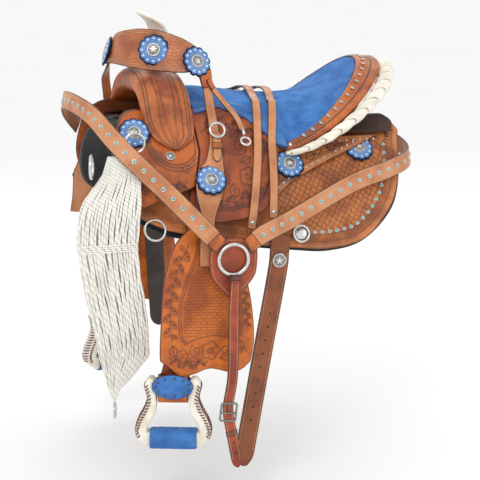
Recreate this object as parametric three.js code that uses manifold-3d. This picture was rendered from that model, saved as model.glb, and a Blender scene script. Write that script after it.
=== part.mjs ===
// Western barrel saddle with its matching headstall, reins, breast collar and cinch.
// Millimetres, +Z up. -X points to the horse's head, -Y is the near (left) side.
// The origin lies on the centre plane, 330 mm above the widest level of the horse's barrel.
import * as THREE from 'three';
import { mergeVertices } from 'three/addons/utils/BufferGeometryUtils.js';
import Module from 'manifold-3d';

// ---------------------------------------------------------------- driving dimensions
const BARREL_HALF_WIDTH = 255;
const BARREL_HEIGHT = 405;
const BARREL_CENTRE_Z = -330;

// Layers on the barrel, from the inner to the outer face of each sheet.
const LINING = [-16, -0.5];
const SKIRT = [0, 4.6];
const BAR = [5.2, 12];
const REAR_JOCKEY = [8, 12];
const FENDER = [14, 18];
const JOCKEY = [22, 26.4];
const STRAP_GROW = 31;

// Heights at which the layers end below the seat.
const SKIRT_TOP = 52;
const BAR_TOP = 56;
const JOCKEY_TOP = 80;

const SEAT_DEPTH = 206;
const SEAT_HALF_WIDTH = 165;
const SEAT_CENTRE_X = -31;
const RIM_LOW_Z = 12;
const RIM_HIGH_Z = 163;
const RIM_POWER = 1.42;
const ROLL_END_WIDTH = 8;
const ROLL_TOP_WIDTH = 50;

const COLLAR_WIDTH = 34;
const REIN_WIDTH = 16;
const BILLET_WIDTH = 38;
const ROSETTE_RADIUS = 28;
const ROSETTE_THICKNESS = 6;
const PAD_THICKNESS = 15;
const PAD_EDGE_THICKNESS = 4;
const STRAP_THICKNESS = 3.6;

const FENDER_PIVOT = [-190, 8];
const STIRRUP_CENTRE = [-272, -260, -414];
const STIRRUP_YAW = THREE.MathUtils.degToRad(-20);
const RING_CENTRE = [-167, -296, -172.6];

// ---------------------------------------------------------------- materials
const material = (color, roughness, metalness = 0) =>
  new THREE.MeshStandardMaterial({ color, roughness, metalness });
const saddleLeather = material(0xb5672f, 0.5);
const tackLeather = material(0xcd8c62, 0.55);
const redLeather = material(0xa8431f, 0.5);
const darkLeather = material(0x3a2a22, 0.6);
const suede = material(0x4683c8, 0.95);
const rawhide = material(0xe9e4d2, 0.6);
const fleece = material(0x1d1d1f, 1.0);
const wood = material(0xb99d72, 0.7);
const steel = material(0xb9bbbd, 0.3, 1.0);
const cotton = material(0xe8e8e4, 0.95);

// ---------------------------------------------------------------- solids and meshes
const wasm = await Module();
wasm.setup();

function toManifold(geometry) {
  const bare = geometry.clone();
  bare.deleteAttribute('normal');
  bare.deleteAttribute('uv');
  const merged = mergeVertices(bare, 1e-4);
  const vertProperties = Float32Array.from(merged.attributes.position.array);
  const triVerts = Uint32Array.from(merged.index.array);
  return new wasm.Manifold(new wasm.Mesh({ numProp: 3, vertProperties, triVerts }));
}

function toGeometry(solid) {
  const mesh = solid.getMesh();
  const geometry = new THREE.BufferGeometry();
  geometry.setAttribute('position', new THREE.BufferAttribute(mesh.vertProperties, 3));
  geometry.setIndex(new THREE.BufferAttribute(mesh.triVerts, 1));
  return geometry;
}

function join(...geometries) {
  return toGeometry(geometries.map(toManifold).reduce((sum, part) => sum.add(part)));
}

function common(first, second) {
  return toGeometry(toManifold(first).intersect(toManifold(second)));
}

// The same geometry on the far side: Y changes sign and each triangle turns round.
function mirrored(geometry) {
  const copy = geometry.index ? geometry.toNonIndexed() : geometry.clone();
  copy.deleteAttribute('normal');
  copy.scale(1, -1, 1);
  const position = copy.attributes.position;
  for (let i = 0; i < position.count; i += 3) {
    const first = new THREE.Vector3().fromBufferAttribute(position, i + 1);
    const second = new THREE.Vector3().fromBufferAttribute(position, i + 2);
    position.setXYZ(i + 1, second.x, second.y, second.z);
    position.setXYZ(i + 2, first.x, first.y, first.z);
  }
  return copy;
}

// Turns a section drawn as (outward, up) and extruded along -X.
const ALONG_X = new THREE.Matrix4().makeBasis(
  new THREE.Vector3(0, -1, 0),
  new THREE.Vector3(0, 0, 1),
  new THREE.Vector3(-1, 0, 0),
);

const saddle = new THREE.Group();

function addMesh(name, geometry, look, parent = saddle) {
  const mesh = new THREE.Mesh(geometry, look);
  mesh.name = name;
  parent.add(mesh);
  return mesh;
}

function addPair(name, geometry, look) {
  addMesh(`${name}_near`, geometry, look);
  addMesh(`${name}_far`, mirrored(geometry), look);
}

function signedVolume(position, index) {
  let sum = 0;
  const a = new THREE.Vector3();
  const b = new THREE.Vector3();
  const c = new THREE.Vector3();
  for (let i = 0; i < index.length; i += 3) {
    a.fromArray(position, index[i] * 3);
    b.fromArray(position, index[i + 1] * 3);
    c.fromArray(position, index[i + 2] * 3);
    sum += a.dot(b.cross(c));
  }
  return sum;
}

// Triangles that close a flat ring, turned the same way round as the ring.
function capTriangles(ring) {
  const normal = new THREE.Vector3();
  ring.forEach((p, i) => normal.add(new THREE.Vector3().crossVectors(p, ring[(i + 1) % ring.length])));
  normal.normalize();
  const u = new THREE.Vector3().subVectors(ring[1], ring[0]).normalize();
  const v = new THREE.Vector3().crossVectors(normal, u);
  return THREE.ShapeUtils.triangulateShape(ring.map((p) => new THREE.Vector2(p.dot(u), p.dot(v))), []);
}

// A closed solid through a row of rings with equal point counts, capped at both ends.
function loft(rings) {
  const count = rings[0].length;
  const position = rings.flat().flatMap((p) => [p.x, p.y, p.z]);
  const index = [];
  for (let r = 0; r < rings.length - 1; r += 1) {
    for (let i = 0; i < count; i += 1) {
      const j = (i + 1) % count;
      const low = r * count;
      const high = low + count;
      index.push(low + i, low + j, high + j);
      index.push(low + i, high + j, high + i);
    }
  }
  const last = (rings.length - 1) * count;
  capTriangles(rings[0]).forEach(([a, b, c]) => index.push(a, c, b));
  capTriangles(rings[rings.length - 1]).forEach(([a, b, c]) => index.push(last + a, last + b, last + c));
  if (signedVolume(position, index) < 0) {
    for (let i = 0; i < index.length; i += 3) {
      const second = index[i + 1];
      index[i + 1] = index[i + 2];
      index[i + 2] = second;
    }
  }
  const geometry = new THREE.BufferGeometry();
  geometry.setAttribute('position', new THREE.Float32BufferAttribute(position, 3));
  geometry.setIndex(index);
  return geometry;
}

// ---------------------------------------------------------------- surfaces of the horse's barrel
function layerY(grow, z) {
  const share = Math.min(Math.max((z - BARREL_CENTRE_Z) / (BARREL_HEIGHT + 1.5 * grow), 0), 1);
  return (BARREL_HALF_WIDTH + grow) * Math.sqrt(1 - share * share);
}

function layerZ(grow, y) {
  const share = Math.min(Math.abs(y) / (BARREL_HALF_WIDTH + grow), 1);
  return BARREL_CENTRE_Z + (BARREL_HEIGHT + 1.5 * grow) * Math.sqrt(1 - share * share);
}

function layerPoint(grow, angle) {
  const y = (BARREL_HALF_WIDTH + grow) * Math.cos(angle);
  return [y, BARREL_CENTRE_Z + (BARREL_HEIGHT + 1.5 * grow) * Math.sin(angle)];
}

// Near-side shell between two layers, running along X.
function layerShell([inner, outer], xLow, xHigh, zLow) {
  const steps = 13;
  const topAngle = 1.46;
  const start = Math.max((zLow - 45 - BARREL_CENTRE_Z) / BARREL_HEIGHT, 0);
  const lowAngle = Math.asin(start);
  const spread = (topAngle - lowAngle) / (steps - 1);
  const angles = Array.from({ length: steps }, (_, i) => lowAngle + i * spread);
  const outside = angles.map((a) => layerPoint(outer, a));
  const inside = angles.map((a) => layerPoint(inner, a)).reverse();
  const skirtFoot = zLow - 20;
  const below = start > 0 ? [] : [
    [BARREL_HALF_WIDTH + inner, skirtFoot],
    [BARREL_HALF_WIDTH + outer, skirtFoot],
  ];
  const section = new THREE.Shape([...outside, ...inside, ...below].map((p) => new THREE.Vector2(...p)));
  const shell = new THREE.ExtrudeGeometry(section, { depth: xHigh - xLow, bevelEnabled: false });
  return shell.applyMatrix4(ALONG_X).translate(xHigh, 0, 0);
}

// An outline in the side view: each run is a smooth curve, and runs meet at corners.
function outline(...runs) {
  const points = [];
  for (const run of runs) {
    const knots = run.map((p) => new THREE.Vector2(...p));
    const smooth = knots.length > 2 ? new THREE.SplineCurve(knots).getPoints(3 * (knots.length - 1)) : knots;
    points.push(...smooth);
  }
  const distinct = points.filter((p, i) => p.distanceTo(points[(i + 1) % points.length]) > 0.5);
  return new THREE.Shape(distinct);
}

// Side-view outline stood up in the XZ plane and extruded along Y.
function prism(shape, yHigh, yLow) {
  const solid = new THREE.ExtrudeGeometry(shape, { depth: yHigh - yLow, bevelEnabled: false });
  return solid.rotateX(Math.PI / 2).translate(0, yHigh, 0);
}

function panel(shape, layer) {
  const box = new THREE.Box2().setFromPoints(shape.getPoints());
  const shell = layerShell(layer, box.min.x - 5, box.max.x + 5, box.min.y);
  return common(shell, prism(shape, -4, -330));
}

// ---------------------------------------------------------------- straps and rounds
// Flat strap through points [x, y, z, nx, ny, nz, width]; the n values face outward.
function strap(points, thickness, steps = 4) {
  const places = points.map((p) => new THREE.Vector3(p[0], p[1], p[2]));
  const centres = new THREE.CatmullRomCurve3(places, false, 'centripetal');
  const stations = (points.length - 1) * steps;
  const rings = [];
  for (let i = 0; i <= stations; i += 1) {
    const t = i / stations;
    const low = Math.min(Math.floor(t * (points.length - 1)), points.length - 2);
    const share = t * (points.length - 1) - low;
    const mix = (k) => THREE.MathUtils.lerp(points[low][k], points[low + 1][k], share);
    const centre = centres.getPoint(t);
    const tangent = centres.getTangent(t);
    const normal = new THREE.Vector3(mix(3), mix(4), mix(5));
    normal.addScaledVector(tangent, -normal.dot(tangent)).normalize();
    const across = new THREE.Vector3().crossVectors(tangent, normal);
    const halfWidth = mix(6) / 2;
    const corner = (a, b) => centre.clone()
      .addScaledVector(across, a * halfWidth)
      .addScaledVector(normal, b * thickness / 2);
    rings.push([corner(-1, -1), corner(1, -1), corner(1, 1), corner(-1, 1)]);
  }
  return loft(rings);
}

// Outward direction of the near-side barrel surface at a height.
function outward(z) {
  const rise = (z - BARREL_CENTRE_Z) / (BARREL_HEIGHT * BARREL_HEIGHT);
  const side = layerY(0, Math.min(z, 60)) / (BARREL_HALF_WIDTH * BARREL_HALF_WIDTH);
  const normal = new THREE.Vector3(0, -side, Math.max(rise, 0)).normalize();
  return [normal.x, normal.y, normal.z];
}

// A strap point that lies on a near-side layer.
const onLayer = (x, z, width, grow = STRAP_GROW) => [x, -layerY(grow, z), z, ...outward(z), width];

// A round disc, its axis along a direction, centred on a point.
function disc(centre, direction, radius, thickness, sides = 16) {
  const solid = new THREE.CylinderGeometry(radius, radius, thickness, sides);
  const axis = new THREE.Vector3(...direction).normalize();
  const turn = new THREE.Quaternion().setFromUnitVectors(new THREE.Vector3(0, 1, 0), axis);
  return solid.applyQuaternion(turn).translate(...centre);
}

function ringTorus(centre, radius, wire, direction = [0, -1, 0]) {
  const axis = new THREE.Vector3(...direction).normalize();
  const turn = new THREE.Quaternion().setFromUnitVectors(new THREE.Vector3(0, 0, 1), axis);
  return new THREE.TorusGeometry(radius, wire, 6, 18).applyQuaternion(turn).translate(...centre);
}

// Rosette standing on the near side of the barrel at a layer.
function sideRosette(x, z, grow) {
  const normal = outward(z);
  const base = [x, -layerY(grow, z), z];
  const centre = base.map((value, i) => value + normal[i] * ROSETTE_THICKNESS / 2);
  return disc(centre, normal, ROSETTE_RADIUS, ROSETTE_THICKNESS);
}

// ---------------------------------------------------------------- seat surfaces
function rimPoint(angle, out = 0, drop = 0) {
  const x = SEAT_CENTRE_X + SEAT_DEPTH * Math.cos(angle) + out * Math.cos(angle);
  const y = -SEAT_HALF_WIDTH * Math.sin(angle) - out * Math.sin(angle);
  const z = RIM_LOW_Z + (RIM_HIGH_Z - RIM_LOW_Z) * Math.cos(angle) ** RIM_POWER - drop;
  return new THREE.Vector3(x, y, z);
}

// Values between knots [x, value], smooth enough for a seat.
function along(knots, x) {
  const last = knots.length - 1;
  if (x <= knots[0][0]) return knots[0][1];
  if (x >= knots[last][0]) return knots[last][1];
  const i = knots.findIndex((knot) => knot[0] > x);
  const share = (x - knots[i - 1][0]) / (knots[i][0] - knots[i - 1][0]);
  return THREE.MathUtils.lerp(knots[i - 1][1], knots[i][1], share);
}

// Height of the seat's crest, and the half width and height of its front flank, along X.
const CREST = [
  [-193, 117], [-120, 108], [-60, 101], [0, 97], [60, 99], [100, 108], [135, 126], [160, 147], [175, 163],
];
const FLANK_Y = [[-193, 97], [-138, 106], [-93, 121], [-69, 140], [-46, 158], [-31, 165]];
const FLANK_Z = [[-193, 74], [-138, 84], [-93, 64], [-69, 43], [-46, 18], [-31, 12]];

function seatEdge(x) {
  if (x <= SEAT_CENTRE_X) return [along(FLANK_Y, x), along(FLANK_Z, x)];
  const angle = Math.acos(Math.min((x - SEAT_CENTRE_X) / SEAT_DEPTH, 1));
  const rim = rimPoint(angle);
  return [-rim.y, rim.z];
}

function seatTop(x, y) {
  const [edgeY, edgeZ] = seatEdge(x);
  const crest = along(CREST, x);
  const share = Math.min(Math.abs(y) / Math.max(edgeY, 1), 1);
  return crest + (edgeZ - crest) * share ** 2.2;
}

// Highest solid under the seat at a point: the jockeys in front of the wings, the bars behind.
function seatFloor(x, y) {
  const reach = Math.abs(y);
  const bars = reach > 68 ? Math.min(layerZ(BAR[1], y), BAR_TOP) : SKIRT_TOP;
  const jockeys = reach > 78 ? Math.min(layerZ(JOCKEY[1], y), JOCKEY_TOP) : bars;
  const share = THREE.MathUtils.clamp((x + 31) / 16, 0, 1);
  return THREE.MathUtils.lerp(jockeys, bars, share);
}

const SEAT_STATIONS = [
  -193, -166, -138, -115, -93, -69, -46, -31, -15, 0, 32, 64, 94, 120, 142, 158, 168,
];

function seatRing(x, halfWidth, columns, top, bottom) {
  const row = Array.from({ length: columns + 1 }, (_, i) => halfWidth * (2 * i / columns - 1));
  const upper = row.map((y) => new THREE.Vector3(x, y, top(x, y)));
  const lower = row.map((y) => new THREE.Vector3(x, y, bottom(x, y))).reverse();
  return [...upper, ...lower];
}

function padBottom(x, y) {
  const share = Math.min(Math.abs(y) / seatEdge(x)[0], 1);
  const thickness = THREE.MathUtils.lerp(PAD_THICKNESS, PAD_EDGE_THICKNESS, share ** 3);
  return Math.max(seatTop(x, y) - thickness, seatFloor(x, y) + STRAP_THICKNESS);
}

function padTop(x, y) {
  return Math.max(seatTop(x, y), padBottom(x, y) + 3);
}

function buildSeat() {
  const pad = SEAT_STATIONS.map((x) => seatRing(x, seatEdge(x)[0] - 0.3, 18, padTop, padBottom));
  addMesh('seat_pad', loft(pad), suede);
  const strainerTop = (x, y) => padBottom(x, y) - 2.5;
  const strainerBottom = (x, y) => padBottom(x, y) - 8;
  const strainerStations = SEAT_STATIONS.filter((x) => x < 150);
  const strainer = strainerStations.map((x) =>
    seatRing(x, Math.min(64, seatEdge(x)[0] * 0.8), 8, strainerTop, strainerBottom));
  addMesh('ground_seat', loft(strainer), saddleLeather);
}

// ---------------------------------------------------------------- cantle
const rollWidth = (angle) =>
  THREE.MathUtils.lerp(ROLL_END_WIDTH, ROLL_TOP_WIDTH, Math.max(Math.cos(angle), 0) ** 0.6);
const rollDrop = (angle) => 3 + 7 * Math.sin(Math.abs(angle));

function sweepRim(from, to, steps, section) {
  const rings = [];
  for (let i = 0; i <= steps; i += 1) {
    const angle = THREE.MathUtils.lerp(from, to, i / steps);
    const nearRing = section(angle).map(([out, drop]) => rimPoint(Math.abs(angle), out, drop));
    rings.push(nearRing.map((p) => new THREE.Vector3(p.x, angle < 0 ? -p.y : p.y, p.z)));
  }
  return loft(rings);
}

function buildCantle() {
  const end = THREE.MathUtils.degToRad(89);
  const roll = (angle) => {
    const w = rollWidth(angle);
    const d = rollDrop(angle);
    const deep = 0.28 * w;
    return [
      [0.5, 0], [w * 0.5, d * 0.2 - 2], [w * 0.9, d - 1], [w, d + 2], [w * 0.96, d + deep * 0.8],
      [w * 0.7, d + deep], [w * 0.4, deep * 0.9], [0.5, deep * 0.6 + 3],
    ];
  };
  addMesh('cantle_roll', sweepRim(-end, end, 36, roll), saddleLeather);
  const lacing = (angle) => {
    const radius = 3 + 14 * Math.max(Math.cos(angle), 0) ** 0.5;
    const out = rollWidth(angle) + radius + 1;
    const drop = rollDrop(angle) + radius * 0.95;
    return Array.from({ length: 8 }, (_, i) => {
      const turn = (i / 8) * 2 * Math.PI;
      return [out + radius * Math.cos(turn), drop + radius * 0.8 * Math.sin(turn)];
    });
  };
  addMesh('cantle_lacing', sweepRim(-end, end, 36, lacing), rawhide);
  const coreEnd = THREE.MathUtils.degToRad(56);
  const core = (angle) => {
    const w = rollWidth(angle);
    const top = 0.28 * w + 4 + rollDrop(angle);
    const rim = rimPoint(Math.abs(angle));
    const low = Math.max(rim.z - layerZ(BAR[1], Math.max(Math.abs(rim.y), 60)) - 3, top + 2);
    return [[1, top], [w * 0.62, top], [w * 0.3, low], [1, low]];
  };
  addMesh('tree_cantle', sweepRim(-coreEnd, coreEnd, 16, core), saddleLeather);
}

// ---------------------------------------------------------------- fork and horn
// Stations down the near half of the arch: x range, outer (y, z), inner (y, z).
const FORK_STATIONS = [
  [-246, -236, 187, 15, 182, 12],
  [-266, -216, 180, 27, 174, 23],
  [-279, -203, 171, 38, 164, 33],
  [-289, -198, 154, 58, 146, 52],
  [-292, -197, 140, 86, 115, 78],
  [-292, -197, 121, 115, 88, 94],
  [-291, -198, 92, 137, 62, 100],
  [-290, -198, 50, 149, 34, 103],
];
const FORK_TOP = [-290, -198, 0, 152, 0, 104];

function forkRing([xLow, xHigh, outY, outZ, inY, inZ], side) {
  const centre = new THREE.Vector3((xLow + xHigh) / 2, side * (outY + inY) / 2, (outZ + inZ) / 2);
  const across = new THREE.Vector3(0, side * (outY - inY) / 2, (outZ - inZ) / 2);
  const sides = 12;
  return Array.from({ length: sides }, (_, i) => {
    const turn = ((i + 0.5) / sides) * 2 * Math.PI;
    const forward = Math.sign(Math.cos(turn)) * Math.abs(Math.cos(turn)) ** 0.55;
    const out = Math.sign(Math.sin(turn)) * Math.abs(Math.sin(turn)) ** 0.7;
    const reach = new THREE.Vector3(forward * (xHigh - xLow) / 2, 0, 0);
    return centre.clone().addScaledVector(across, out).add(reach);
  });
}

function buildFork() {
  const near = FORK_STATIONS.map((station) => forkRing(station, -1));
  const far = FORK_STATIONS.map((station) => forkRing(station, 1)).reverse();
  addMesh('fork', loft([...near, forkRing(FORK_TOP, 1), ...far]), saddleLeather);
}

const HORN_BASE = [-229, 0, 151.5];
const HORN_CAP_CENTRE = [-240, 0, 243];
const HORN_TILT = THREE.MathUtils.degToRad(27);

function hornRing([x, y, z], radius, tilt, sides = 16) {
  return Array.from({ length: sides }, (_, i) => {
    const turn = (i / sides) * 2 * Math.PI;
    const flat = radius * Math.cos(turn);
    const side = radius * Math.sin(turn);
    return new THREE.Vector3(x + flat * Math.cos(tilt), y + side, z - flat * Math.sin(tilt));
  });
}

function buildHorn() {
  const [bx, by, bz] = HORN_BASE;
  const [cx, cy, cz] = HORN_CAP_CENTRE;
  const neck = [
    hornRing([bx, by, bz + 0.8], 26, 0),
    hornRing([bx, by, bz + 12], 21, 0),
    hornRing([bx + 1, by, bz + 38], 18.5, 0.1),
    hornRing([bx + 2, by, bz + 62], 18.5, 0.3),
    hornRing([cx + 4, cy, cz - 11], 21, HORN_TILT),
    hornRing([cx, cy, cz - 5], 25, HORN_TILT),
  ];
  addMesh('horn_neck', loft(neck), rawhide);
  const axis = new THREE.Vector3(Math.sin(HORN_TILT), 0, Math.cos(HORN_TILT));
  const cap = [[-4.4, 26], [-3, 30], [0, 31.5], [3, 30.5], [4.5, 26]].map(([rise, radius]) =>
    hornRing([cx + axis.x * rise, cy, cz + axis.z * rise], radius, HORN_TILT, 24));
  addMesh('horn_cap', loft(cap), rawhide);
}

// ---------------------------------------------------------------- panels on the barrel
function skirtShape(grow) {
  const g = grow;
  return outline(
    [[-306, SKIRT_TOP], [-336 - g, 26], [-345 - g, -40], [-328 - g, -96 - g], [-270, -128 - 2 * g]],
    [
      [-270, -128 - 2 * g], [-150, -156 - g], [-32, -172 - g], [41, -178 - g], [114, -163 - g],
      [174 + g, -108 - g], [204 + g, -45], [217 + g, 8], [226 + g, 26],
    ],
    [[226 + g, 26], [214, 44], [180, 54], [150, SKIRT_TOP]],
    [[150, SKIRT_TOP], [-306, SKIRT_TOP]]);
}

function buildPanels() {
  addPair('lining', panel(skirtShape(6), LINING), fleece);
  addPair('skirt', panel(skirtShape(0), SKIRT), saddleLeather);
  const bar = outline(
    [[-312, 26], [-318, 44], [-306, BAR_TOP]], [[-306, BAR_TOP], [200, BAR_TOP]],
    [[200, BAR_TOP], [213, 44], [205, 26]], [[205, 26], [-312, 26]]);
  addPair('tree_bar', panel(bar, BAR), wood);
  const rearJockey = outline(
    [[-128, -90], [-87, -97], [-24, -55], [40, -27], [101, -5], [150, 12], [176, 22]],
    [[176, 22], [-44, 22]], [[-44, 22], [-128, -34]], [[-128, -34], [-128, -90]]);
  addPair('rear_jockey', panel(rearJockey, REAR_JOCKEY), saddleLeather);
  const seatJockey = outline(
    [[-221, -100], [-200, -110], [-178, -114], [-126, -110], [-95, -100], [-79, -90]],
    [[-79, -90], [-60, -50], [-44, 0], [-42, 13]],
    [[-42, 13], [-69, 50], [-93, 72], [-138, JOCKEY_TOP], [-195.5, 80]],
    [[-195.5, 80], [-195.5, 8]], [[-195.5, 8], [-213, -46]], [[-213, -46], [-221, -100]]);
  addPair('seat_jockey', panel(seatJockey, JOCKEY), saddleLeather);
  const frontJockey = outline(
    [[-197, 8], [-216, -51]], [[-216, -51], [-314, -82]],
    [[-314, -82], [-340, -70], [-352, -30], [-350, 18], [-341, 54], [-322, 76], [-297, 82]],
    [[-297, 82], [-260, 76], [-197, 76]], [[-197, 76], [-197, 8]]);
  const jockey = panel(frontJockey, JOCKEY);
  const rosette = sideRosette(-314, 42, JOCKEY[1] - 1);
  addPair('front_jockey', join(jockey, rosette), saddleLeather);
}

// ---------------------------------------------------------------- fenders and stirrups
function fenderShape() {
  return outline(
    [[-232, -122], [-262, -150], [-284, -200], [-294, -262], [-299, -330], [-299, -358]],
    [
      [-299, -358], [-282, -372], [-262, -390], [-236, -388], [-205, -380], [-169, -390],
      [-146, -388], [-127, -374],
    ],
    [[-127, -374], [-120, -330], [-124, -262], [-136, -200], [-160, -150], [-190, -122]],
    [[-190, -122], [-232, -122]]);
}

function inStirrupFrame(geometry) {
  return geometry.rotateZ(STIRRUP_YAW).translate(...STIRRUP_CENTRE);
}

function buildFender() {
  addPair('fender', panel(fenderShape(), FENDER), saddleLeather);
  // The leather hangs from the tree's bar, behind the fender, and loops round the stirrup bolt.
  const [px, pz] = FENDER_PIVOT;
  const [sx, sy, sz] = STIRRUP_CENTRE;
  const [nx, ny] = [Math.sin(STIRRUP_YAW), -Math.cos(STIRRUP_YAW)];
  const leather = (x, z, width) => [x, -layerY(11.4, z), z, ...outward(z), width];
  const hang = strap([
    leather(px, pz + 6, 26), leather(px - 6, pz - 40, 34), leather(px - 20, -110, 46),
    leather(px - 38, -210, 56), leather(px - 60, -310, 56), [sx + 5, sy - 1, -386, 0, -1, 0, 54],
    [sx, sy, sz + 14, nx, ny, 0, 56]], 3.6, 3);
  const loopShape = new THREE.Shape();
  loopShape.moveTo(-2.2, 26);
  loopShape.lineTo(-2.2, 19);
  loopShape.quadraticCurveTo(-13, 10, -13, 0);
  loopShape.absarc(0, -14, 13, Math.PI, 2 * Math.PI, false);
  loopShape.quadraticCurveTo(13, 10, 2.2, 19);
  loopShape.lineTo(2.2, 26);
  const hole = new THREE.Path();
  hole.moveTo(8.6, 0);
  hole.quadraticCurveTo(8, 8, 0, 13);
  hole.quadraticCurveTo(-8, 8, -8.6, 0);
  hole.absarc(0, -14, 8.6, Math.PI, 2 * Math.PI, false);
  loopShape.holes.push(hole);
  const loop = new THREE.ExtrudeGeometry(loopShape, { depth: 56, bevelEnabled: false, curveSegments: 5 });
  loop.applyMatrix4(ALONG_X).translate(28, 0, -6);
  addPair('stirrup_leather', join(hang, inStirrupFrame(loop)), tackLeather);
}

// Oval patch and the keeper that holds the leather together above the stirrup.
function buildHobblePatch() {
  const patchShape = new THREE.Shape();
  patchShape.absellipse(0, 0, 38, 23, 0, 2 * Math.PI);
  const patchOptions = { depth: 3, bevelEnabled: false, curveSegments: 12 };
  const patch = new THREE.ExtrudeGeometry(patchShape, patchOptions);
  patch.rotateX(Math.PI / 2).translate(0, -18, 8);
  const keeper = new THREE.BoxGeometry(52, 6, 26).translate(0, -16.6, 4);
  addPair('hobble_patch', inStirrupFrame(join(patch, keeper)), suede);
}

function stirrupShape() {
  const half = [
    [30.5, 18], [37, 24], [46, 22], [51, 10], [46, -14], [52, -34], [63, -55], [69, -75], [64, -92], [50, -106],
  ];
  const left = half.map(([x, z]) => [-x, z]).reverse();
  const inner = [[30.5, 18], [30.5, -30], [34, -46], [45, -64], [49, -79]];
  const innerLeft = inner.map(([x, z]) => [-x, z]);
  const foot = [[50, -106], [-50, -106]];
  const tread = [[-49, -79], [49, -79]];
  return outline(half, foot, left, innerLeft, tread, inner.slice().reverse());
}

const TREAD_DEPTH = 30;

function buildStirrup() {
  const body = new THREE.ExtrudeGeometry(stirrupShape(), { depth: TREAD_DEPTH, bevelEnabled: false });
  body.rotateX(Math.PI / 2).translate(0, TREAD_DEPTH / 2, -4);
  addPair('stirrup', inStirrupFrame(body), rawhide);
  const wrap = new THREE.Shape();
  wrap.absellipse(0, 0, TREAD_DEPTH / 2 + 10, 20, 0, 2 * Math.PI);
  const slotHalf = TREAD_DEPTH / 2 + 0.5;
  const slot = new THREE.Path();
  slot.moveTo(-slotHalf, -14);
  slot.lineTo(slotHalf, -14);
  slot.lineTo(slotHalf, 14);
  slot.lineTo(-slotHalf, 14);
  slot.closePath();
  wrap.holes.push(slot);
  const sleeve = new THREE.ExtrudeGeometry(wrap, { depth: 86, bevelEnabled: false, curveSegments: 10 });
  sleeve.applyMatrix4(ALONG_X).translate(43, 0, -96.5);
  addPair('tread_wrap', inStirrupFrame(sleeve), suede);
  const bolt = new THREE.CylinderGeometry(4, 4, 60, 10).rotateZ(Math.PI / 2).translate(0, 0, -10);
  addPair('stirrup_bolt', inStirrupFrame(bolt), steel);
}

// ---------------------------------------------------------------- rigging
function billetShape(topX, topZ, endX, endZ, width) {
  const run = new THREE.Vector2(endX - topX, endZ - topZ).normalize();
  const side = new THREE.Vector2(-run.y, run.x).multiplyScalar(width / 2);
  const shoulder = new THREE.Vector2(endX, endZ).addScaledVector(run, -width * 0.6);
  const top = new THREE.Vector2(topX, topZ);
  const tip = new THREE.Vector2(endX, endZ);
  return new THREE.Shape([
    top.clone().add(side), top.clone().sub(side), shoulder.clone().sub(side),
    tip.clone().addScaledVector(side, -0.25), tip.clone().addScaledVector(side, 0.25),
    shoulder.clone().add(side),
  ]);
}

function buildRigging() {
  const nearBillet = strap([
    [-56, -layerY(9, -145), -145, ...outward(-145), BILLET_WIDTH],
    [-62, -layerY(9, -178), -178, ...outward(-178), BILLET_WIDTH],
    [-69, -253, -215, 0, -1, 0, BILLET_WIDTH], [-100, -254, -380, 0, -1, 0, BILLET_WIDTH],
    [-133, -254, -562, 0, -1, 0, BILLET_WIDTH], [-138, -254, -586, 0, -1, 0, 12]], 4, 2);
  addPair('rear_billet', nearBillet, saddleLeather);
  addPair('rear_dee', ringTorus([-16, -layerY(10.5, -146), -146], 15, 2.4, outward(-146)), steel);
  const offBillet = prism(billetShape(-182, -174, -170, -438, 40), 239.2, 235.8);
  addMesh('off_billet', offBillet, darkLeather);
  addPair('front_dee', ringTorus([-294, -layerY(8.2, -124), -124], 19, 2.2, outward(-124)), steel);
}

// Levels of the folded cinch: z, front x, rear x, outer y, inner y.
const CINCH_LEVELS = [
  [8, -374, -308, -204, -192], [-22, -388, -312, -221, -207], [-65, -428, -319, -249, -231],
  [-86, -437, -322, -255, -237], [-115, -441, -325, -250, -231], [-150, -442, -327, -245, -225],
  [-224, -429, -318, -240, -218], [-324, -407, -303, -228, -206], [-362, -398, -302, -219, -200],
  [-398, -390, -331, -214, -196], [-425, -383, -356, -210, -194], [-450, -374, -366, -206, -197],
];

function buildCinch() {
  const rings = CINCH_LEVELS.map(([z, xFront, xRear, yOut, yIn]) => {
    const side = (xRear - xFront) / 6;
    const yMid = (yOut + yIn) / 2;
    const corners = [
      [xFront, yMid], [xFront + side, yOut], [xRear - side, yOut],
      [xRear, yMid], [xRear - side, yIn], [xFront + side, yIn],
    ];
    return corners.map(([x, y]) => new THREE.Vector3(x, y, z));
  });
  addMesh('cinch_strings', loft(rings), cotton);
  const edgeOn = (radius, wire) => new THREE.TorusGeometry(radius, wire, 6, 18).rotateX(Math.PI / 2).rotateZ(1.25);
  addMesh('cinch_ring_front', edgeOn(20, 2.8).translate(-405, -216, -6), steel);
  addMesh('cinch_ring_rear', ringTorus([-322, -198.5, 31], 18, 2.4), steel);
  addMesh('cinch_dee', edgeOn(13, 2.4).translate(-369, -201, -467), steel);
}

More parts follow.
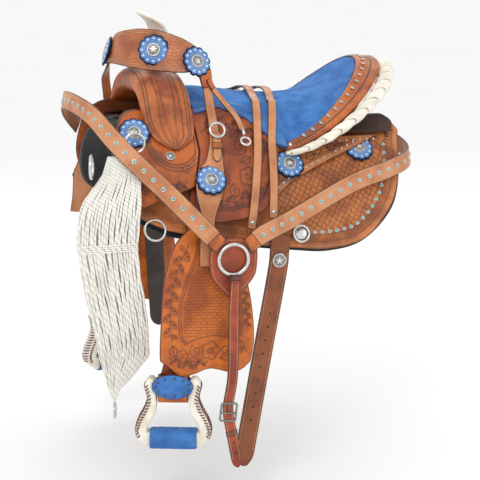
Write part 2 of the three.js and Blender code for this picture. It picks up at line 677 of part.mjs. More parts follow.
// ---------------------------------------------------------------- breast collar
function buildCollarStraps() {
  const [rx, ry, rz] = RING_CENTRE;
  const front = strap([
    [-352, 172, 22, -0.5, 0.85, 0, COLLAR_WIDTH], [-392, 95, 66, -0.85, 0.5, 0.1, COLLAR_WIDTH],
    [-408, 0, 92, -1, 0, 0.2, COLLAR_WIDTH], [-386, -122, 77, -0.7, -0.7, 0.2, COLLAR_WIDTH],
    [-350, -204, 25, -0.4, -0.87, 0.3, COLLAR_WIDTH], [-274, -262, -57, -0.3, -0.9, 0.2, COLLAR_WIDTH],
    [-214, -292, -122, -0.2, -1, 0.1, COLLAR_WIDTH], [rx - 24, ry, rz + 26, 0, -1, 0, COLLAR_WIDTH - 4]], 4, 3);
  addMesh('collar_front_strap', front, tackLeather);
  const rear = strap([
    [rx + 27, ry, rz + 23, 0, -1, 0, COLLAR_WIDTH - 4], [-110, -291, -131, 0.1, -1, 0.1, COLLAR_WIDTH],
    [-46, -266, -111, 0.2, -1, 0.1, COLLAR_WIDTH], [87, -228, -59, 0.3, -0.95, 0.2, COLLAR_WIDTH],
    [168, -206, -40, 0.4, -0.9, 0.2, COLLAR_WIDTH], [224, -176, -26, 0.6, -0.75, 0.1, COLLAR_WIDTH],
    [250, -118, -16, 0.9, -0.4, 0.1, COLLAR_WIDTH], [262, 0, -8, 1, 0, 0, COLLAR_WIDTH],
    [250, 118, -16, 0.9, 0.4, 0.1, COLLAR_WIDTH], [226, 176, -26, 0.6, 0.75, 0.1, COLLAR_WIDTH]], 4, 3);
  addMesh('collar_rear_strap', rear, tackLeather);
  addMesh('collar_ring', ringTorus(RING_CENTRE, 27.5, 3.4), steel);
}

function buildSafeAndTieDown() {
  const [rx, ry, rz] = RING_CENTRE;
  const safe = new THREE.Shape();
  safe.moveTo(rx + 2, -256);
  safe.bezierCurveTo(rx - 8, -228, rx - 46, -212, rx - 44, -172);
  safe.bezierCurveTo(rx - 42, -142, rx - 18, -134, rx + 2, -134);
  safe.bezierCurveTo(rx + 24, -134, rx + 48, -142, rx + 48, -172);
  safe.bezierCurveTo(rx + 50, -212, rx + 12, -228, rx + 2, -256);
  addMesh('collar_safe', prism(safe, -286, -289.4), redLeather);
  const tieDown = strap([
    [rx + 1, ry - 6.5, rz - 27, 0, -1, 0, 17], [rx - 2, ry - 6.5, -270, 0, -1, 0, 20],
    [-171, ry - 6.5, -385, 0, -1, 0, 20], [-180, ry - 6.5, -450, 0, -1, 0, 20],
    [-172, ry - 6.5, -505, 0, -1, 0, 20], [-161, ry - 6.5, -566, 0, -1, 0, 20]], 3.4, 2);
  addMesh('tie_down_strap', tieDown, redLeather);
  const rectangle = (a, b) => [[-a, -b], [a, -b], [a, b], [-a, b]].map((p) => new THREE.Vector2(...p));
  const frame = new THREE.Shape(rectangle(17, 19));
  frame.holes.push(new THREE.Path(rectangle(12.5, 14)));
  const buckle = new THREE.ExtrudeGeometry(frame, { depth: 3.4, bevelEnabled: false }).rotateX(Math.PI / 2);
  addMesh('tie_down_buckle', buckle.rotateY(0.12).translate(-180, ry - 8.8, -456), steel);
}

// ---------------------------------------------------------------- headstall and reins
function buildBrowband() {
  const band = [
    [-311, 52, 178, -0.95, 0.1, 0.3, 50], [-306, 8, 188, -0.85, -0.4, 0.3, 62],
    [-284, -40, 192, -0.65, -0.7, 0.28, 72], [-252, -72, 190, -0.35, -0.9, 0.25, 74],
    [-212, -95, 181, 0, -0.95, 0.3, 64], [-181, -106, 166, 0.25, -0.9, 0.35, 52],
    [-164, -110, 145, 0.4, -0.85, 0.35, 34]];
  const discs = [band[0], band[3], band[5]].map(([x, y, z, nx, ny, nz]) =>
    disc([x + nx * 4, y + ny * 4, z + nz * 4], [nx, ny, nz], ROSETTE_RADIUS, ROSETTE_THICKNESS));
  addMesh('browband', join(strap(band, STRAP_THICKNESS, 3), ...discs), tackLeather);
  const crown = strap([
    [-158, -88, 158, 0.9, -0.3, 0.2, 20], [-164, -40, 170, 1, 0, 0.3, 20], [-180, 20, 174, 0.9, 0.4, 0.3, 20],
    [-225, 60, 172, 0.3, 0.9, 0.3, 20], [-282, 68, 172, -0.2, 0.9, 0.3, 20], [-300, 66, 165, -0.6, 0.7, 0.3, 20]], 3, 3);
  addMesh('headstall_crown', crown, tackLeather);
}

function buildCheeks() {
  const near = [
    [-161, -112, 122, 0.1, -0.95, 0.3, 18], [-158, -126, 78, 0, -0.95, 0.3, 18], [-160, -146, 56, 0, -0.8, 0.5, 18],
    onLayer(-166, 22, 20), onLayer(-174, -12, 34), onLayer(-186, -38, 58), onLayer(-194, -70, 46),
    onLayer(-199, -100, 27), onLayer(-207, -142, 24), onLayer(-212, -188, 24)];
  const nearRosette = sideRosette(-186, -40, STRAP_GROW + 1);
  addMesh('cheek_near', join(strap(near, STRAP_THICKNESS, 3), nearRosette), tackLeather);
  const farPoint = (x, z, width, grow = STRAP_GROW) => {
    const [px, y, pz, nx, ny, nz, w] = onLayer(x, z, width, grow);
    return [px, -y, pz, nx, -ny, nz, w];
  };
  const far = [
    [-308, 78, 152, -0.8, 0.5, 0.2, 18], [-302, 130, 122, -0.3, 0.9, 0.4, 18], [-294, 154, 86, 0, 0.9, 0.4, 18],
    [-288, 174, 54, 0, 0.9, 0.4, 18], farPoint(-287, 20, 20, 40), farPoint(-300, -14, 30, 38),
    farPoint(-314, -52, 46, 38), farPoint(-322, -92, 58, 38), farPoint(-330, -125, 42, 38),
    farPoint(-338, -150, 26, 38), farPoint(-342, -178, 24, 38)];
  const farRosette = mirrored(sideRosette(-322, -94, STRAP_GROW + 8));
  addMesh('cheek_far', join(strap(far, STRAP_THICKNESS, 3), farRosette), tackLeather);
  const buckleAt = (x, z, grow, mirror) => {
    const ring = new THREE.TorusGeometry(14, 2.4, 6, 16).rotateX(Math.PI / 2 - 0.5);
    ring.translate(x, -layerY(grow, z), z);
    return mirror ? mirrored(ring) : ring;
  };
  addMesh('cheek_buckle_near', buckleAt(-160, 46, 41, false), steel);
  addMesh('cheek_buckle_far', buckleAt(-288, 40, 50, true), steel);
  const throat = strap([
    [-150, -116, 116, 0.3, -0.9, 0.3, 12], [-132, -124, 92, 0.2, -0.9, 0.4, 12],
    [-114, -143, 66, 0, -0.75, 0.6, 12], onLayer(-108, 42, 12, 34)], 3, 3);
  addMesh('throat_strap', throat, tackLeather);
  addMesh('snap_hook', ringTorus([-108, -layerY(34, 22) - 1, 24], 9, 2.6), steel);
}

// A strap point lifted off the seat pad, its normal from the slope of the pad.
function onSeat(x, y, lift, width) {
  const step = 6;
  const slopeX = (padTop(x + step, y) - padTop(x - step, y)) / (2 * step);
  const slopeY = (padTop(x, y - step) - padTop(x, y + step)) / (2 * step);
  const normal = new THREE.Vector3(-slopeX, slopeY, 1).normalize();
  const place = new THREE.Vector3(x, y, padTop(x, y)).addScaledVector(normal, lift);
  return [place.x, place.y, place.z, normal.x, normal.y, normal.z, width];
}

function reinPoints(crestX, kneeX, endX, endZ) {
  const near = [0, -30, -60, -90, -112, -126, -140].map((y) => {
    const x = THREE.MathUtils.lerp(crestX, kneeX, (-y / 180) ** 1.5);
    return onSeat(x, y, 7, REIN_WIDTH);
  });
  const kneeZ = 16;
  for (const z of [kneeZ, -20, -60, -100, endZ]) {
    const x = THREE.MathUtils.lerp(kneeX, endX, (kneeZ - z) / (kneeZ - endZ));
    near.push(onLayer(x, z, REIN_WIDTH, STRAP_GROW));
  }
  const far = near.slice(1).map(([x, y, z, nx, ny, nz, w]) => [x, -y, z, nx, -ny, nz, w]).reverse();
  return [...far, ...near];
}

function buildReins() {
  addMesh('rein_front', strap(reinPoints(-48, -84, -120, -128), 3.4, 2), tackLeather);
  addMesh('rein_rear', strap(reinPoints(-11, -56, -76, -112), 3.4, 2), tackLeather);
}

buildSeat();
buildCantle();
buildFork();
buildHorn();
buildPanels();
buildFender();
buildHobblePatch();
buildStirrup();
buildRigging();
buildCinch();
buildCollarStraps();
buildSafeAndTieDown();
buildBrowband();
buildCheeks();
buildReins();

export default saddle;
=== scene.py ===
"""A western barrel saddle hung with its matching tack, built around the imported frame.

Shapes are worked out in millimetres in the row frame: -X is the horse's head, -Y the near side."""

import math

import bmesh
import bpy
import numpy as np
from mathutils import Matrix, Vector, kdtree
from mathutils.geometry import delaunay_2d_cdt


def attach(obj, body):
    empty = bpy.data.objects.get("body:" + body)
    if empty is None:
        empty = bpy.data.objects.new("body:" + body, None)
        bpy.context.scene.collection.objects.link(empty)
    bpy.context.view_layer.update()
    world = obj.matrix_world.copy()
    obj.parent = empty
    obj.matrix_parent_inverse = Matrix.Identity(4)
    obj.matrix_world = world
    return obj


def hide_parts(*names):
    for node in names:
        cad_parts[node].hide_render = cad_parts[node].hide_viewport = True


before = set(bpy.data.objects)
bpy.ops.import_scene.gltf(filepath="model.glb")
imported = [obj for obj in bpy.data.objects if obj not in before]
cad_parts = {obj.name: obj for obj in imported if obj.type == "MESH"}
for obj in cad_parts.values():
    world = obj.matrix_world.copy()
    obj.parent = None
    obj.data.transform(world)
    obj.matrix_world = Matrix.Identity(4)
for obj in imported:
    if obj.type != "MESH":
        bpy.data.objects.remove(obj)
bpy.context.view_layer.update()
MM = 0.001
FAR = 10.0
NEAR_SIDE, FAR_SIDE = -1, 1

# The horse's barrel, and the layers of leather on it.
BARREL_HALF_WIDTH, BARREL_HEIGHT, BARREL_CENTRE_Z = 255.0, 405.0, -330.0
LINING, SKIRT, REAR_JOCKEY, FENDER, JOCKEY = -0.5, 4.6, 12.0, 18.0, 26.4
STRAP_GROW = 31.0
SEAT_DEPTH, SEAT_HALF_WIDTH, SEAT_CENTRE_X = 206.0, 165.0, -31.0
RIM_LOW_Z, RIM_HIGH_Z, RIM_POWER = 12.0, 163.0, 1.42
STIRRUP_CENTRE = np.array([-272.0, -260.0, -414.0])
STIRRUP_YAW = math.radians(-20)
RING_CENTRE = np.array([-167.0, -296.0, -172.6])


# ---------------------------------------------------------------- materials
def srgb(code):
    values = [int(code[i:i + 2], 16) / 255 for i in (0, 2, 4)]
    return tuple(v / 12.92 if v < 0.04045 else ((v + 0.055) / 1.055) ** 2.4 for v in values) + (1.0,)


class Graph:
    """A material's node tree, with positions in millimetres."""

    def __init__(self, name, **shader):
        self.material = bpy.data.materials.new(name)
        self.material.use_nodes = True
        self.tree = self.material.node_tree
        self.shader = self.tree.nodes["Principled BSDF"]
        for socket, value in shader.items():
            self.shader.inputs[socket.replace("_", " ")].default_value = value

    def add(self, kind, inputs, out=0, **props):
        node = self.tree.nodes.new("ShaderNode" + kind)
        for key, value in props.items():
            setattr(node, key, value)
        for key, value in inputs.items():
            if isinstance(value, bpy.types.NodeSocket):
                self.tree.links.new(value, node.inputs[key])
            else:
                node.inputs[key].default_value = value
        return node.outputs[out]

    def math(self, operation, a, b=0.0):
        return self.add("Math", {0: a, 1: b}, operation=operation)

    def range(self, value, low, high, start=0.0, end=1.0):
        numbers = {"Value": value, "From Min": low, "From Max": high, "To Min": start, "To Max": end}
        return self.add("MapRange", numbers, interpolation_type="SMOOTHSTEP")

    def mix(self, share, a, b):
        return self.add("Mix", {0: share, 6: a, 7: b}, out=2, data_type="RGBA")

    def place(self, stretch=(1, 1, 1)):
        coordinates = self.tree.nodes.new("ShaderNodeTexCoord").outputs["Object"]
        factors = tuple(s / MM for s in stretch)
        return self.add("VectorMath", {0: coordinates, 1: factors}, operation="MULTIPLY")

    def noise(self, vector, size, detail=3.0, rough=0.55):
        numbers = {"Vector": vector, "Scale": 1 / size, "Detail": detail, "Roughness": rough}
        return self.add("TexNoise", numbers)

    def attribute(self, name):
        return self.add("Attribute", {}, out=2, attribute_name=name)

    def total(self, *values):
        result = values[0]
        for value in values[1:]:
            result = self.math("ADD", result, value)
        return result

    def finish(self, colour, height=None, depth=0.5, rough=None):
        self.tree.links.new(colour, self.shader.inputs["Base Color"])
        if rough is not None:
            self.tree.links.new(rough, self.shader.inputs["Roughness"])
        if height is not None:
            bump = self.add("Bump", {"Strength": 1.0, "Distance": depth * MM, "Height": height})
            self.tree.links.new(bump, self.shader.inputs["Normal"])
        return self.material


def leather(name, light, deep, edge_tone, rough=0.46, pattern=None, border=None, fade=1.0, burnish=2.2):
    """Vegetable-tanned leather: mottled dye, pores, burnished edges, carved lines and stamping."""
    g = Graph(name, Roughness=rough, Coat_Weight=0.12, Coat_Roughness=0.35)
    place = g.place()
    cloud = g.range(g.noise(place, 55, 3), 0.36, 0.66)
    streak = g.range(g.noise(place, 9, 4), 0.3, 0.75, 0.0, 0.4)
    colour = g.mix(g.math("MULTIPLY", g.math("MAXIMUM", cloud, streak), fade), srgb(light), srgb(deep))
    pores = g.noise(place, 1.1, 3, 0.6)
    crease = g.math("MULTIPLY", g.range(g.noise(place, 4.5, 5, 0.65), 0.62, 0.5), 0.35)
    height = g.total(g.math("MULTIPLY", pores, 0.22), crease)
    edge = g.attribute("edge")
    if pattern:
        stamp, low = pattern(g)
        area = g.attribute("tooled")
        cover = g.math("MULTIPLY", area, stamp)
        colour = g.mix(g.math("MULTIPLY", cover, low), colour, srgb(edge_tone))
        height = g.math("SUBTRACT", height, g.math("MULTIPLY", cover, 1.3))
    if border:
        start, end, pitch = border
        inside = g.math("MULTIPLY", g.range(edge, start, start + 0.8), g.range(edge, end + 0.8, end))
        wave = g.math("SINE", g.math("MULTIPLY", g.attribute("along"), 2 * math.pi / pitch))
        fan = g.math("MULTIPLY", inside, g.range(wave, 0.1, -0.7))
        colour = g.mix(g.math("MULTIPLY", fan, 0.7), colour, srgb(edge_tone))
        height = g.math("SUBTRACT", height, g.math("MULTIPLY", fan, 1.4))
    carve = g.attribute("carve")
    shade = g.math("MULTIPLY", g.range(carve, 3.4, 0.2), 0.38)
    line = g.math("MULTIPLY", g.range(carve, 1.25, 0.3), 0.85)
    colour = g.mix(g.math("MAXIMUM", shade, line), colour, srgb(edge_tone))
    wear = g.math("MULTIPLY", g.range(edge, burnish + 2.5, burnish), g.range(g.noise(place, 14, 2), 0.5, 0.7))
    colour = g.mix(g.math("MULTIPLY", wear, 0.35), colour, srgb(light))
    colour = g.mix(g.range(edge, burnish, burnish * 0.35, 0.0, 0.9), colour, srgb(edge_tone))
    gloss = g.range(g.noise(place, 18, 3), 0.3, 0.7, rough - 0.08, rough + 0.1)
    return g.finish(colour, height, 0.45, gloss)


def flat_place(g, turn=0.0):
    """The side view's X and Z as a texture's X and Y, in millimetres."""
    parts = g.tree.nodes.new("ShaderNodeSeparateXYZ")
    g.tree.links.new(g.place(), parts.inputs[0])
    flat = g.add("CombineXYZ", {0: parts.outputs[0], 1: parts.outputs[2]})
    return g.add("VectorRotate", {"Vector": flat, "Angle": turn}, rotation_type="Z_AXIS")


def basket_weave(g):
    """Rows of overlapping stamps, as of a basket-weave tool."""
    bricks = {"Vector": flat_place(g, 0.06), "Scale": 1.0, "Mortar Size": 0.85, "Mortar Smooth": 0.7,
              "Brick Width": 12.0, "Row Height": 5.4}
    seams = g.add("TexBrick", bricks, out=1)
    wave = {"Vector": flat_place(g, 0.06), "Scale": 0.16, "Distortion": 1.0, "Detail": 1.0}
    ribs = g.add("TexWave", wave, out=1)
    return g.math("MAXIMUM", seams, g.range(ribs, 0.3, 0.05, 0.0, 0.4)), 0.62


def scale_stamp(g):
    """Overlapping round stamps."""
    cells = {"Vector": flat_place(g, 0.6), "Scale": 1 / 9.5, "Randomness": 0.25}
    near = g.add("TexVoronoi", cells, voronoi_dimensions="2D", feature="DISTANCE_TO_EDGE")
    return g.range(near, 0.12, 0.02), 0.7


def floral_ground(g):
    """Leaves and petals cut in curved lines, on a matted ground."""
    place = g.place()
    swirl = g.add("TexWave", {"Vector": place, "Scale": 0.035, "Distortion": 9.0, "Detail": 1.0,
                              "Detail Scale": 0.9}, out=1, bands_direction="DIAGONAL")
    veins = g.range(g.math("ABSOLUTE", g.math("SUBTRACT", swirl, 0.5)), 0.09, 0.015)
    dots = g.add("TexVoronoi", {"Vector": place, "Scale": 0.5, "Randomness": 0.8})
    matted = g.math("MULTIPLY", g.range(dots, 0.3, 0.1), g.range(swirl, 0.62, 0.9, 0.0, 0.5))
    return g.math("MAXIMUM", veins, matted), 0.75


def napped(name, base, shade, pile):
    """Suede: a soft nap brushed in cloudy patches."""
    g = Graph(name, Roughness=0.92, Sheen_Weight=0.45, Sheen_Roughness=0.4, Specular_IOR_Level=0.2)
    g.shader.inputs["Sheen Tint"].default_value = srgb(pile)
    place = g.place()
    brushed = g.range(g.noise(place, 38, 4, 0.6), 0.32, 0.7)
    hand = g.range(g.noise(g.place((0.35, 1, 1)), 9, 3), 0.35, 0.72, 0.0, 0.45)
    fibre = g.noise(place, 0.8, 3, 0.7)
    colour = g.mix(g.math("MAXIMUM", brushed, hand), srgb(base), srgb(shade))
    colour = g.mix(g.range(fibre, 0.35, 0.75, 0.0, 0.3), colour, srgb(pile))
    edge = g.attribute("edge")
    colour = g.mix(g.range(edge, 1.6, 0.5, 0.0, 0.85), colour, srgb("16294a"))
    return g.finish(colour, fibre, 0.5)


def rawhide_look():
    """Bleached rawhide: cloudy patches, grain, and painted shade in the grooves between lace turns."""
    g = Graph("rawhide", Roughness=0.5, Coat_Weight=0.15, Coat_Roughness=0.3)
    place = g.place()
    patch = g.range(g.noise(place, 30, 4), 0.35, 0.7)
    grain = g.noise(place, 2.2, 5, 0.65)
    colour = g.mix(patch, srgb("f1ece0"), srgb("d9d2bf"))
    colour = g.mix(g.range(grain, 0.6, 0.8, 0.0, 0.35), colour, srgb("b9ab90"))
    # Painted shade: the seams between the lace's turns, read from the carve attribute, are darkened towards
    # 4a4034.
    groove = g.attribute("carve")
    colour = g.mix(g.range(groove, 1.4, 0.2, 0.0, 0.85), colour, srgb("4a4034"))
    wrinkle = g.math("MULTIPLY", g.noise(g.place((1, 1, 2.4)), 7, 4), 0.8)
    return g.finish(colour, g.total(g.math("MULTIPLY", grain, 0.3), wrinkle), 0.6)


def metal(name, tone, dark, rough):
    """Nickel-plated metal with fine scratches and tarnish in its hollows."""
    g = Graph(name, Metallic=1.0, Roughness=rough)
    place = g.place()
    stain = g.range(g.noise(place, 6, 4), 0.45, 0.8, 0.0, 0.6)
    scratch = g.noise(g.place((1, 1, 9)), 1.2, 2)
    gloss = g.range(scratch, 0.3, 0.8, rough - 0.06, rough + 0.14)
    return g.finish(g.mix(stain, srgb(tone), srgb(dark)), scratch, 0.05, gloss)


def enamel(name, tone, dark, rough=0.3):
    g = Graph(name, Roughness=rough, Coat_Weight=0.4)
    place = g.place()
    veins = g.range(g.noise(place, 2.5, 4, 0.7), 0.5, 0.68)
    return g.finish(g.mix(veins, srgb(tone), srgb(dark)), g.noise(place, 1.5, 2), 0.1)


def spun(name, tone, shade, size=1.4):
    """Twisted cotton or thread: short plies that turn round the cord."""
    g = Graph(name, Roughness=0.95, Sheen_Weight=0.25, Specular_IOR_Level=0.15)
    plies = g.range(g.add("TexWave", {"Vector": g.place(), "Scale": 0.11 / size, "Distortion": 1.5,
                                      "Detail": 2.0}, out=1, bands_direction="DIAGONAL"), 0.45, 0.05)
    fuzz = g.noise(g.place(), size, 4, 0.7)
    soil = g.range(g.noise(g.place(), 45, 3), 0.45, 0.75, 0.0, 0.5)
    colour = g.mix(g.math("MULTIPLY", plies, 0.55), srgb(tone), srgb(shade))
    colour = g.mix(soil, colour, srgb(shade))
    return g.finish(colour, g.math("SUBTRACT", g.math("MULTIPLY", fuzz, 0.8), plies), 0.7)


def fleece_look():
    g = Graph("fleece", Roughness=1.0, Sheen_Weight=0.3, Specular_IOR_Level=0.1)
    tufts = g.noise(g.place(), 2.6, 5, 0.7)
    colour = g.mix(g.range(tufts, 0.35, 0.7), srgb("0c0c0e"), srgb("2b2b30"))
    return g.finish(colour, tufts, 3.0)


def hide_look():
    """Dark oiled hide over the tree."""
    g = Graph("tree_hide", Roughness=0.6)
    place = g.place()
    pores = g.noise(place, 1.6, 4, 0.65)
    colour = g.mix(g.range(g.noise(place, 40, 4), 0.35, 0.7), srgb("452a1a"), srgb("26160d"))
    colour = g.mix(g.range(pores, 0.6, 0.8, 0.0, 0.4), colour, srgb("160c07"))
    return g.finish(colour, pores, 0.4)


BURNT = "2e150a"
SADDLE_TONES = ("c4651f", "8a3d10", BURNT)
LEATHER = leather("saddle_leather", *SADDLE_TONES)
WOVEN = leather("fender_leather", "d4701e", "a64c0e", "54240a", pattern=basket_weave)
SCALED = leather("skirt_leather", "c87636", "914b1c", "4a230d", pattern=scale_stamp, border=(15, 25, 4.6))
FORK_LOOK = leather("fork_leather", "c26a2a", "8a3e14", BURNT, pattern=floral_ground)
FLORAL = leather("jockey_leather", "b0541c", "7c300d", BURNT, pattern=floral_ground)
REAR_TOOLED = leather("rear_jockey_leather", "c97c3c", "964e1e", "4b2410", pattern=floral_ground,
                      border=(10, 16, 3.6))
TAN = leather("tack_leather", "cd8d60", "ae6b40", "38190c", burnish=1.5)
BROW = leather("browband_leather", "bd6f42", "93481f", BURNT, pattern=floral_ground, burnish=1.8)
RED = leather("red_leather", "a84822", "802f10", BURNT, burnish=1.5)
BILLET = leather("billet_leather", "8e4a1e", "6c3212", "2b170c", burnish=1.5)
DARK = leather("dark_leather", "3b2f28", "241b17", "0d0a09", pattern=basket_weave)
# Black leather for the hobble keeper; the punched holes use the same dark as painted shade in place of an
# opening.
BLACK_LEATHER_AND_HOLE_SHADE = leather("black_leather_and_hole_shade", "1d1512", "120d0b", "080605")
SUEDE = napped("blue_suede", "4580c4", "2a5a9e", "78a4da")
PETAL = napped("petal_leather", "6a98d2", "426fae", "a0c0e6")
NAVY = napped("backing_leather", "1d2a45", "10182b", "31415f")
RAWHIDE = rawhide_look()
NICKEL = metal("nickel", "d6d6d4", "7d7c78", 0.2)
# Antique silver with dark oxide for concho grounds and the tie-down buckle; on the far cheek buckle it is
# painted shade, a darker copy of the nickel.
ANTIQUE_AND_SHADED_SILVER = metal("antique_and_shaded_silver", "8f8e86", "2c2b28", 0.36)
DARK_STEEL = metal("dark_steel", "6d6a66", "2e2c2a", 0.35)
TURQUOISE = enamel("turquoise", "5fb3b0", "2e6f78")
CRYSTAL = enamel("crystal", "f2f8ff", "b8cfe8", 0.08)
THREAD = spun("thread", "d9c6a2", "ac8f66", 0.8)
COTTON = spun("cinch_cotton", "efede6", "d2cfc4", 2.0)
LACE = leather("lace_leather", "7a3f2c", "54261a", "1e0d09")
FLEECE = fleece_look()
HIDE = hide_look()


# ---------------------------------------------------------------- curves and surfaces
def layer_y(grow, z):
    share = np.clip((np.asarray(z, float) - BARREL_CENTRE_Z) / (BARREL_HEIGHT + 1.5 * grow), 0, 1)
    return (BARREL_HALF_WIDTH + grow) * np.sqrt(1 - share * share)


def outward(z):
    """Near-side normal of the barrel at a height."""
    rise = (z - BARREL_CENTRE_Z) / BARREL_HEIGHT ** 2
    side = float(layer_y(0, min(z, 60))) / BARREL_HALF_WIDTH ** 2
    normal = np.array([0, -side, max(rise, 0)])
    return normal / np.linalg.norm(normal)


def facing(z, side):
    """Outward normal of the barrel at a height, on the chosen side."""
    return outward(z) * [1, -side, 1]


def round_turn(count):
    """Angles at even steps round a full turn."""
    return np.linspace(0, 2 * math.pi, count, endpoint=False)


def rounding(inward, rim):
    """How far a rounded edge has dropped at a distance in from it."""
    return rim - np.sqrt(np.maximum(rim ** 2 - np.maximum(rim - inward, 0) ** 2, 0))


def unit(vector):
    return np.asarray(vector, float) / np.linalg.norm(vector)


def spline(knots, per_span):
    """Points of a smooth curve through the knots."""
    k = np.array(knots, float)
    if len(k) < 3:
        return np.array([k[0] + (k[-1] - k[0]) * i / per_span for i in range(per_span + 1)])
    k = np.vstack([2 * k[0] - k[1], k, 2 * k[-1] - k[-2]])
    found = []
    for i in range(1, len(k) - 2):
        for t in np.arange(per_span) / per_span:
            a, b = k[i + 1] - k[i - 1], k[i + 2] - k[i]
            h = 2 * t ** 3 - 3 * t ** 2 + 1, t ** 3 - 2 * t ** 2 + t, 3 * t ** 2 - 2 * t ** 3, t ** 3 - t ** 2
            found.append(h[0] * k[i] + h[1] * a / 2 + h[2] * k[i + 1] + h[3] * b / 2)
    return np.array(found + [k[-2]])


def resample(points, step, closed=False):
    """Points at even steps along a polyline."""
    p = np.asarray(points, float)
    if closed:
        p = np.vstack([p, p[:1]])
    length = np.concatenate([[0], np.cumsum(np.linalg.norm(np.diff(p, axis=0), axis=1))])
    count = max(int(round(length[-1] / step)), 2)
    at = np.linspace(0, length[-1], count + 1)
    even = np.stack([np.interp(at, length, p[:, i]) for i in range(p.shape[1])], axis=1)
    return even[:-1] if closed else even


def outline(*runs):
    points = np.vstack([spline(run, 8)[:-1] for run in runs])
    keep = np.linalg.norm(points - np.roll(points, -1, axis=0), axis=1) > 0.2
    return points[keep]


def inset(loop, distance):
    """The loop moved inward. It may run either way round."""
    area = np.sum(loop[:, 0] * np.roll(loop[:, 1], -1) - np.roll(loop[:, 0], -1) * loop[:, 1])
    run = np.roll(loop, -1, axis=0) - np.roll(loop, 1, axis=0)
    run /= np.maximum(np.linalg.norm(run, axis=1, keepdims=True), 1e-9)
    turn = np.sign(area)
    return loop + distance * turn * np.stack([-run[:, 1], run[:, 0]], axis=1)


def inside(points, loop):
    x, y = points[:, 0][:, None], points[:, 1][:, None]
    ax, ay = loop[:, 0][None], loop[:, 1][None]
    bx, by = np.roll(loop[:, 0], -1)[None], np.roll(loop[:, 1], -1)[None]
    with np.errstate(divide="ignore", invalid="ignore"):
        crosses = ((ay > y) != (by > y)) & (x < (bx - ax) * (y - ay) / (by - ay) + ax)
    return crosses.sum(axis=1) % 2 == 1


def tree_of(points):
    tree = kdtree.KDTree(len(points))
    for i, p in enumerate(points):
        tree.insert((p[0], p[1], 0), i)
    tree.balance()
    return tree


def distances(points, tree):
    found = [tree.find((p[0], p[1], 0)) for p in points]
    return np.array([f[2] for f in found]), np.array([f[1] for f in found])


def scroll(x, z, radius, start, turns, flip=1):
    """A carved spiral from its eye outward."""
    t = np.linspace(0, 1, int(14 * turns) + 8)
    r = radius * (0.16 + 0.84 * t)
    a = math.radians(start) + flip * turns * 2 * math.pi * (1 - t)
    return np.stack([x + r * np.cos(a), z + r * np.sin(a)], axis=1)


def flower(x, z, radius):
    """A carved blossom: a round eye and a row of petals."""
    petals = 5
    a = np.linspace(0, 2 * math.pi, 90)
    r = radius * (0.72 + 0.28 * np.abs(np.cos(petals * a / 2)))
    eye = np.stack([x + radius * 0.28 * np.cos(a[::3]), z + radius * 0.28 * np.sin(a[::3])], axis=1)
    return [np.stack([x + r * np.cos(a), z + r * np.sin(a)], axis=1), eye]


def leaf(x, z, length, angle, width=0.3):
    """A carved leaf with its vein."""
    t = np.linspace(0, 1, 12)
    bow = width * length * np.sin(math.pi * t)
    c, s = math.cos(math.radians(angle)), math.sin(math.radians(angle))
    sides = [np.stack([t * length, sign * bow], axis=1) for sign in (1, 0, -1)]
    return [np.stack([x + p[:, 0] * c - p[:, 1] * s, z + p[:, 0] * s + p[:, 1] * c], axis=1) for p in sides]


def vine(knots, size, pitch):
    """A carved stem with leaves and scrolls that alternate along it."""
    stem = spline(knots, 10)
    line = resample(stem, pitch)
    cuts = [stem]
    for i in range(1, len(line) - 1):
        run = unit(line[i + 1] - line[i - 1])
        flip = 1 if i % 2 else -1
        angle = math.degrees(math.atan2(run[1], run[0])) + flip * 48
        cuts += leaf(*line[i], size, angle, 0.2)
        out = line[i] - flip * size * 0.62 * np.array([-run[1], run[0]])
        cuts.append(scroll(*out, size * 0.4, angle, 1.2, flip))
    return cuts


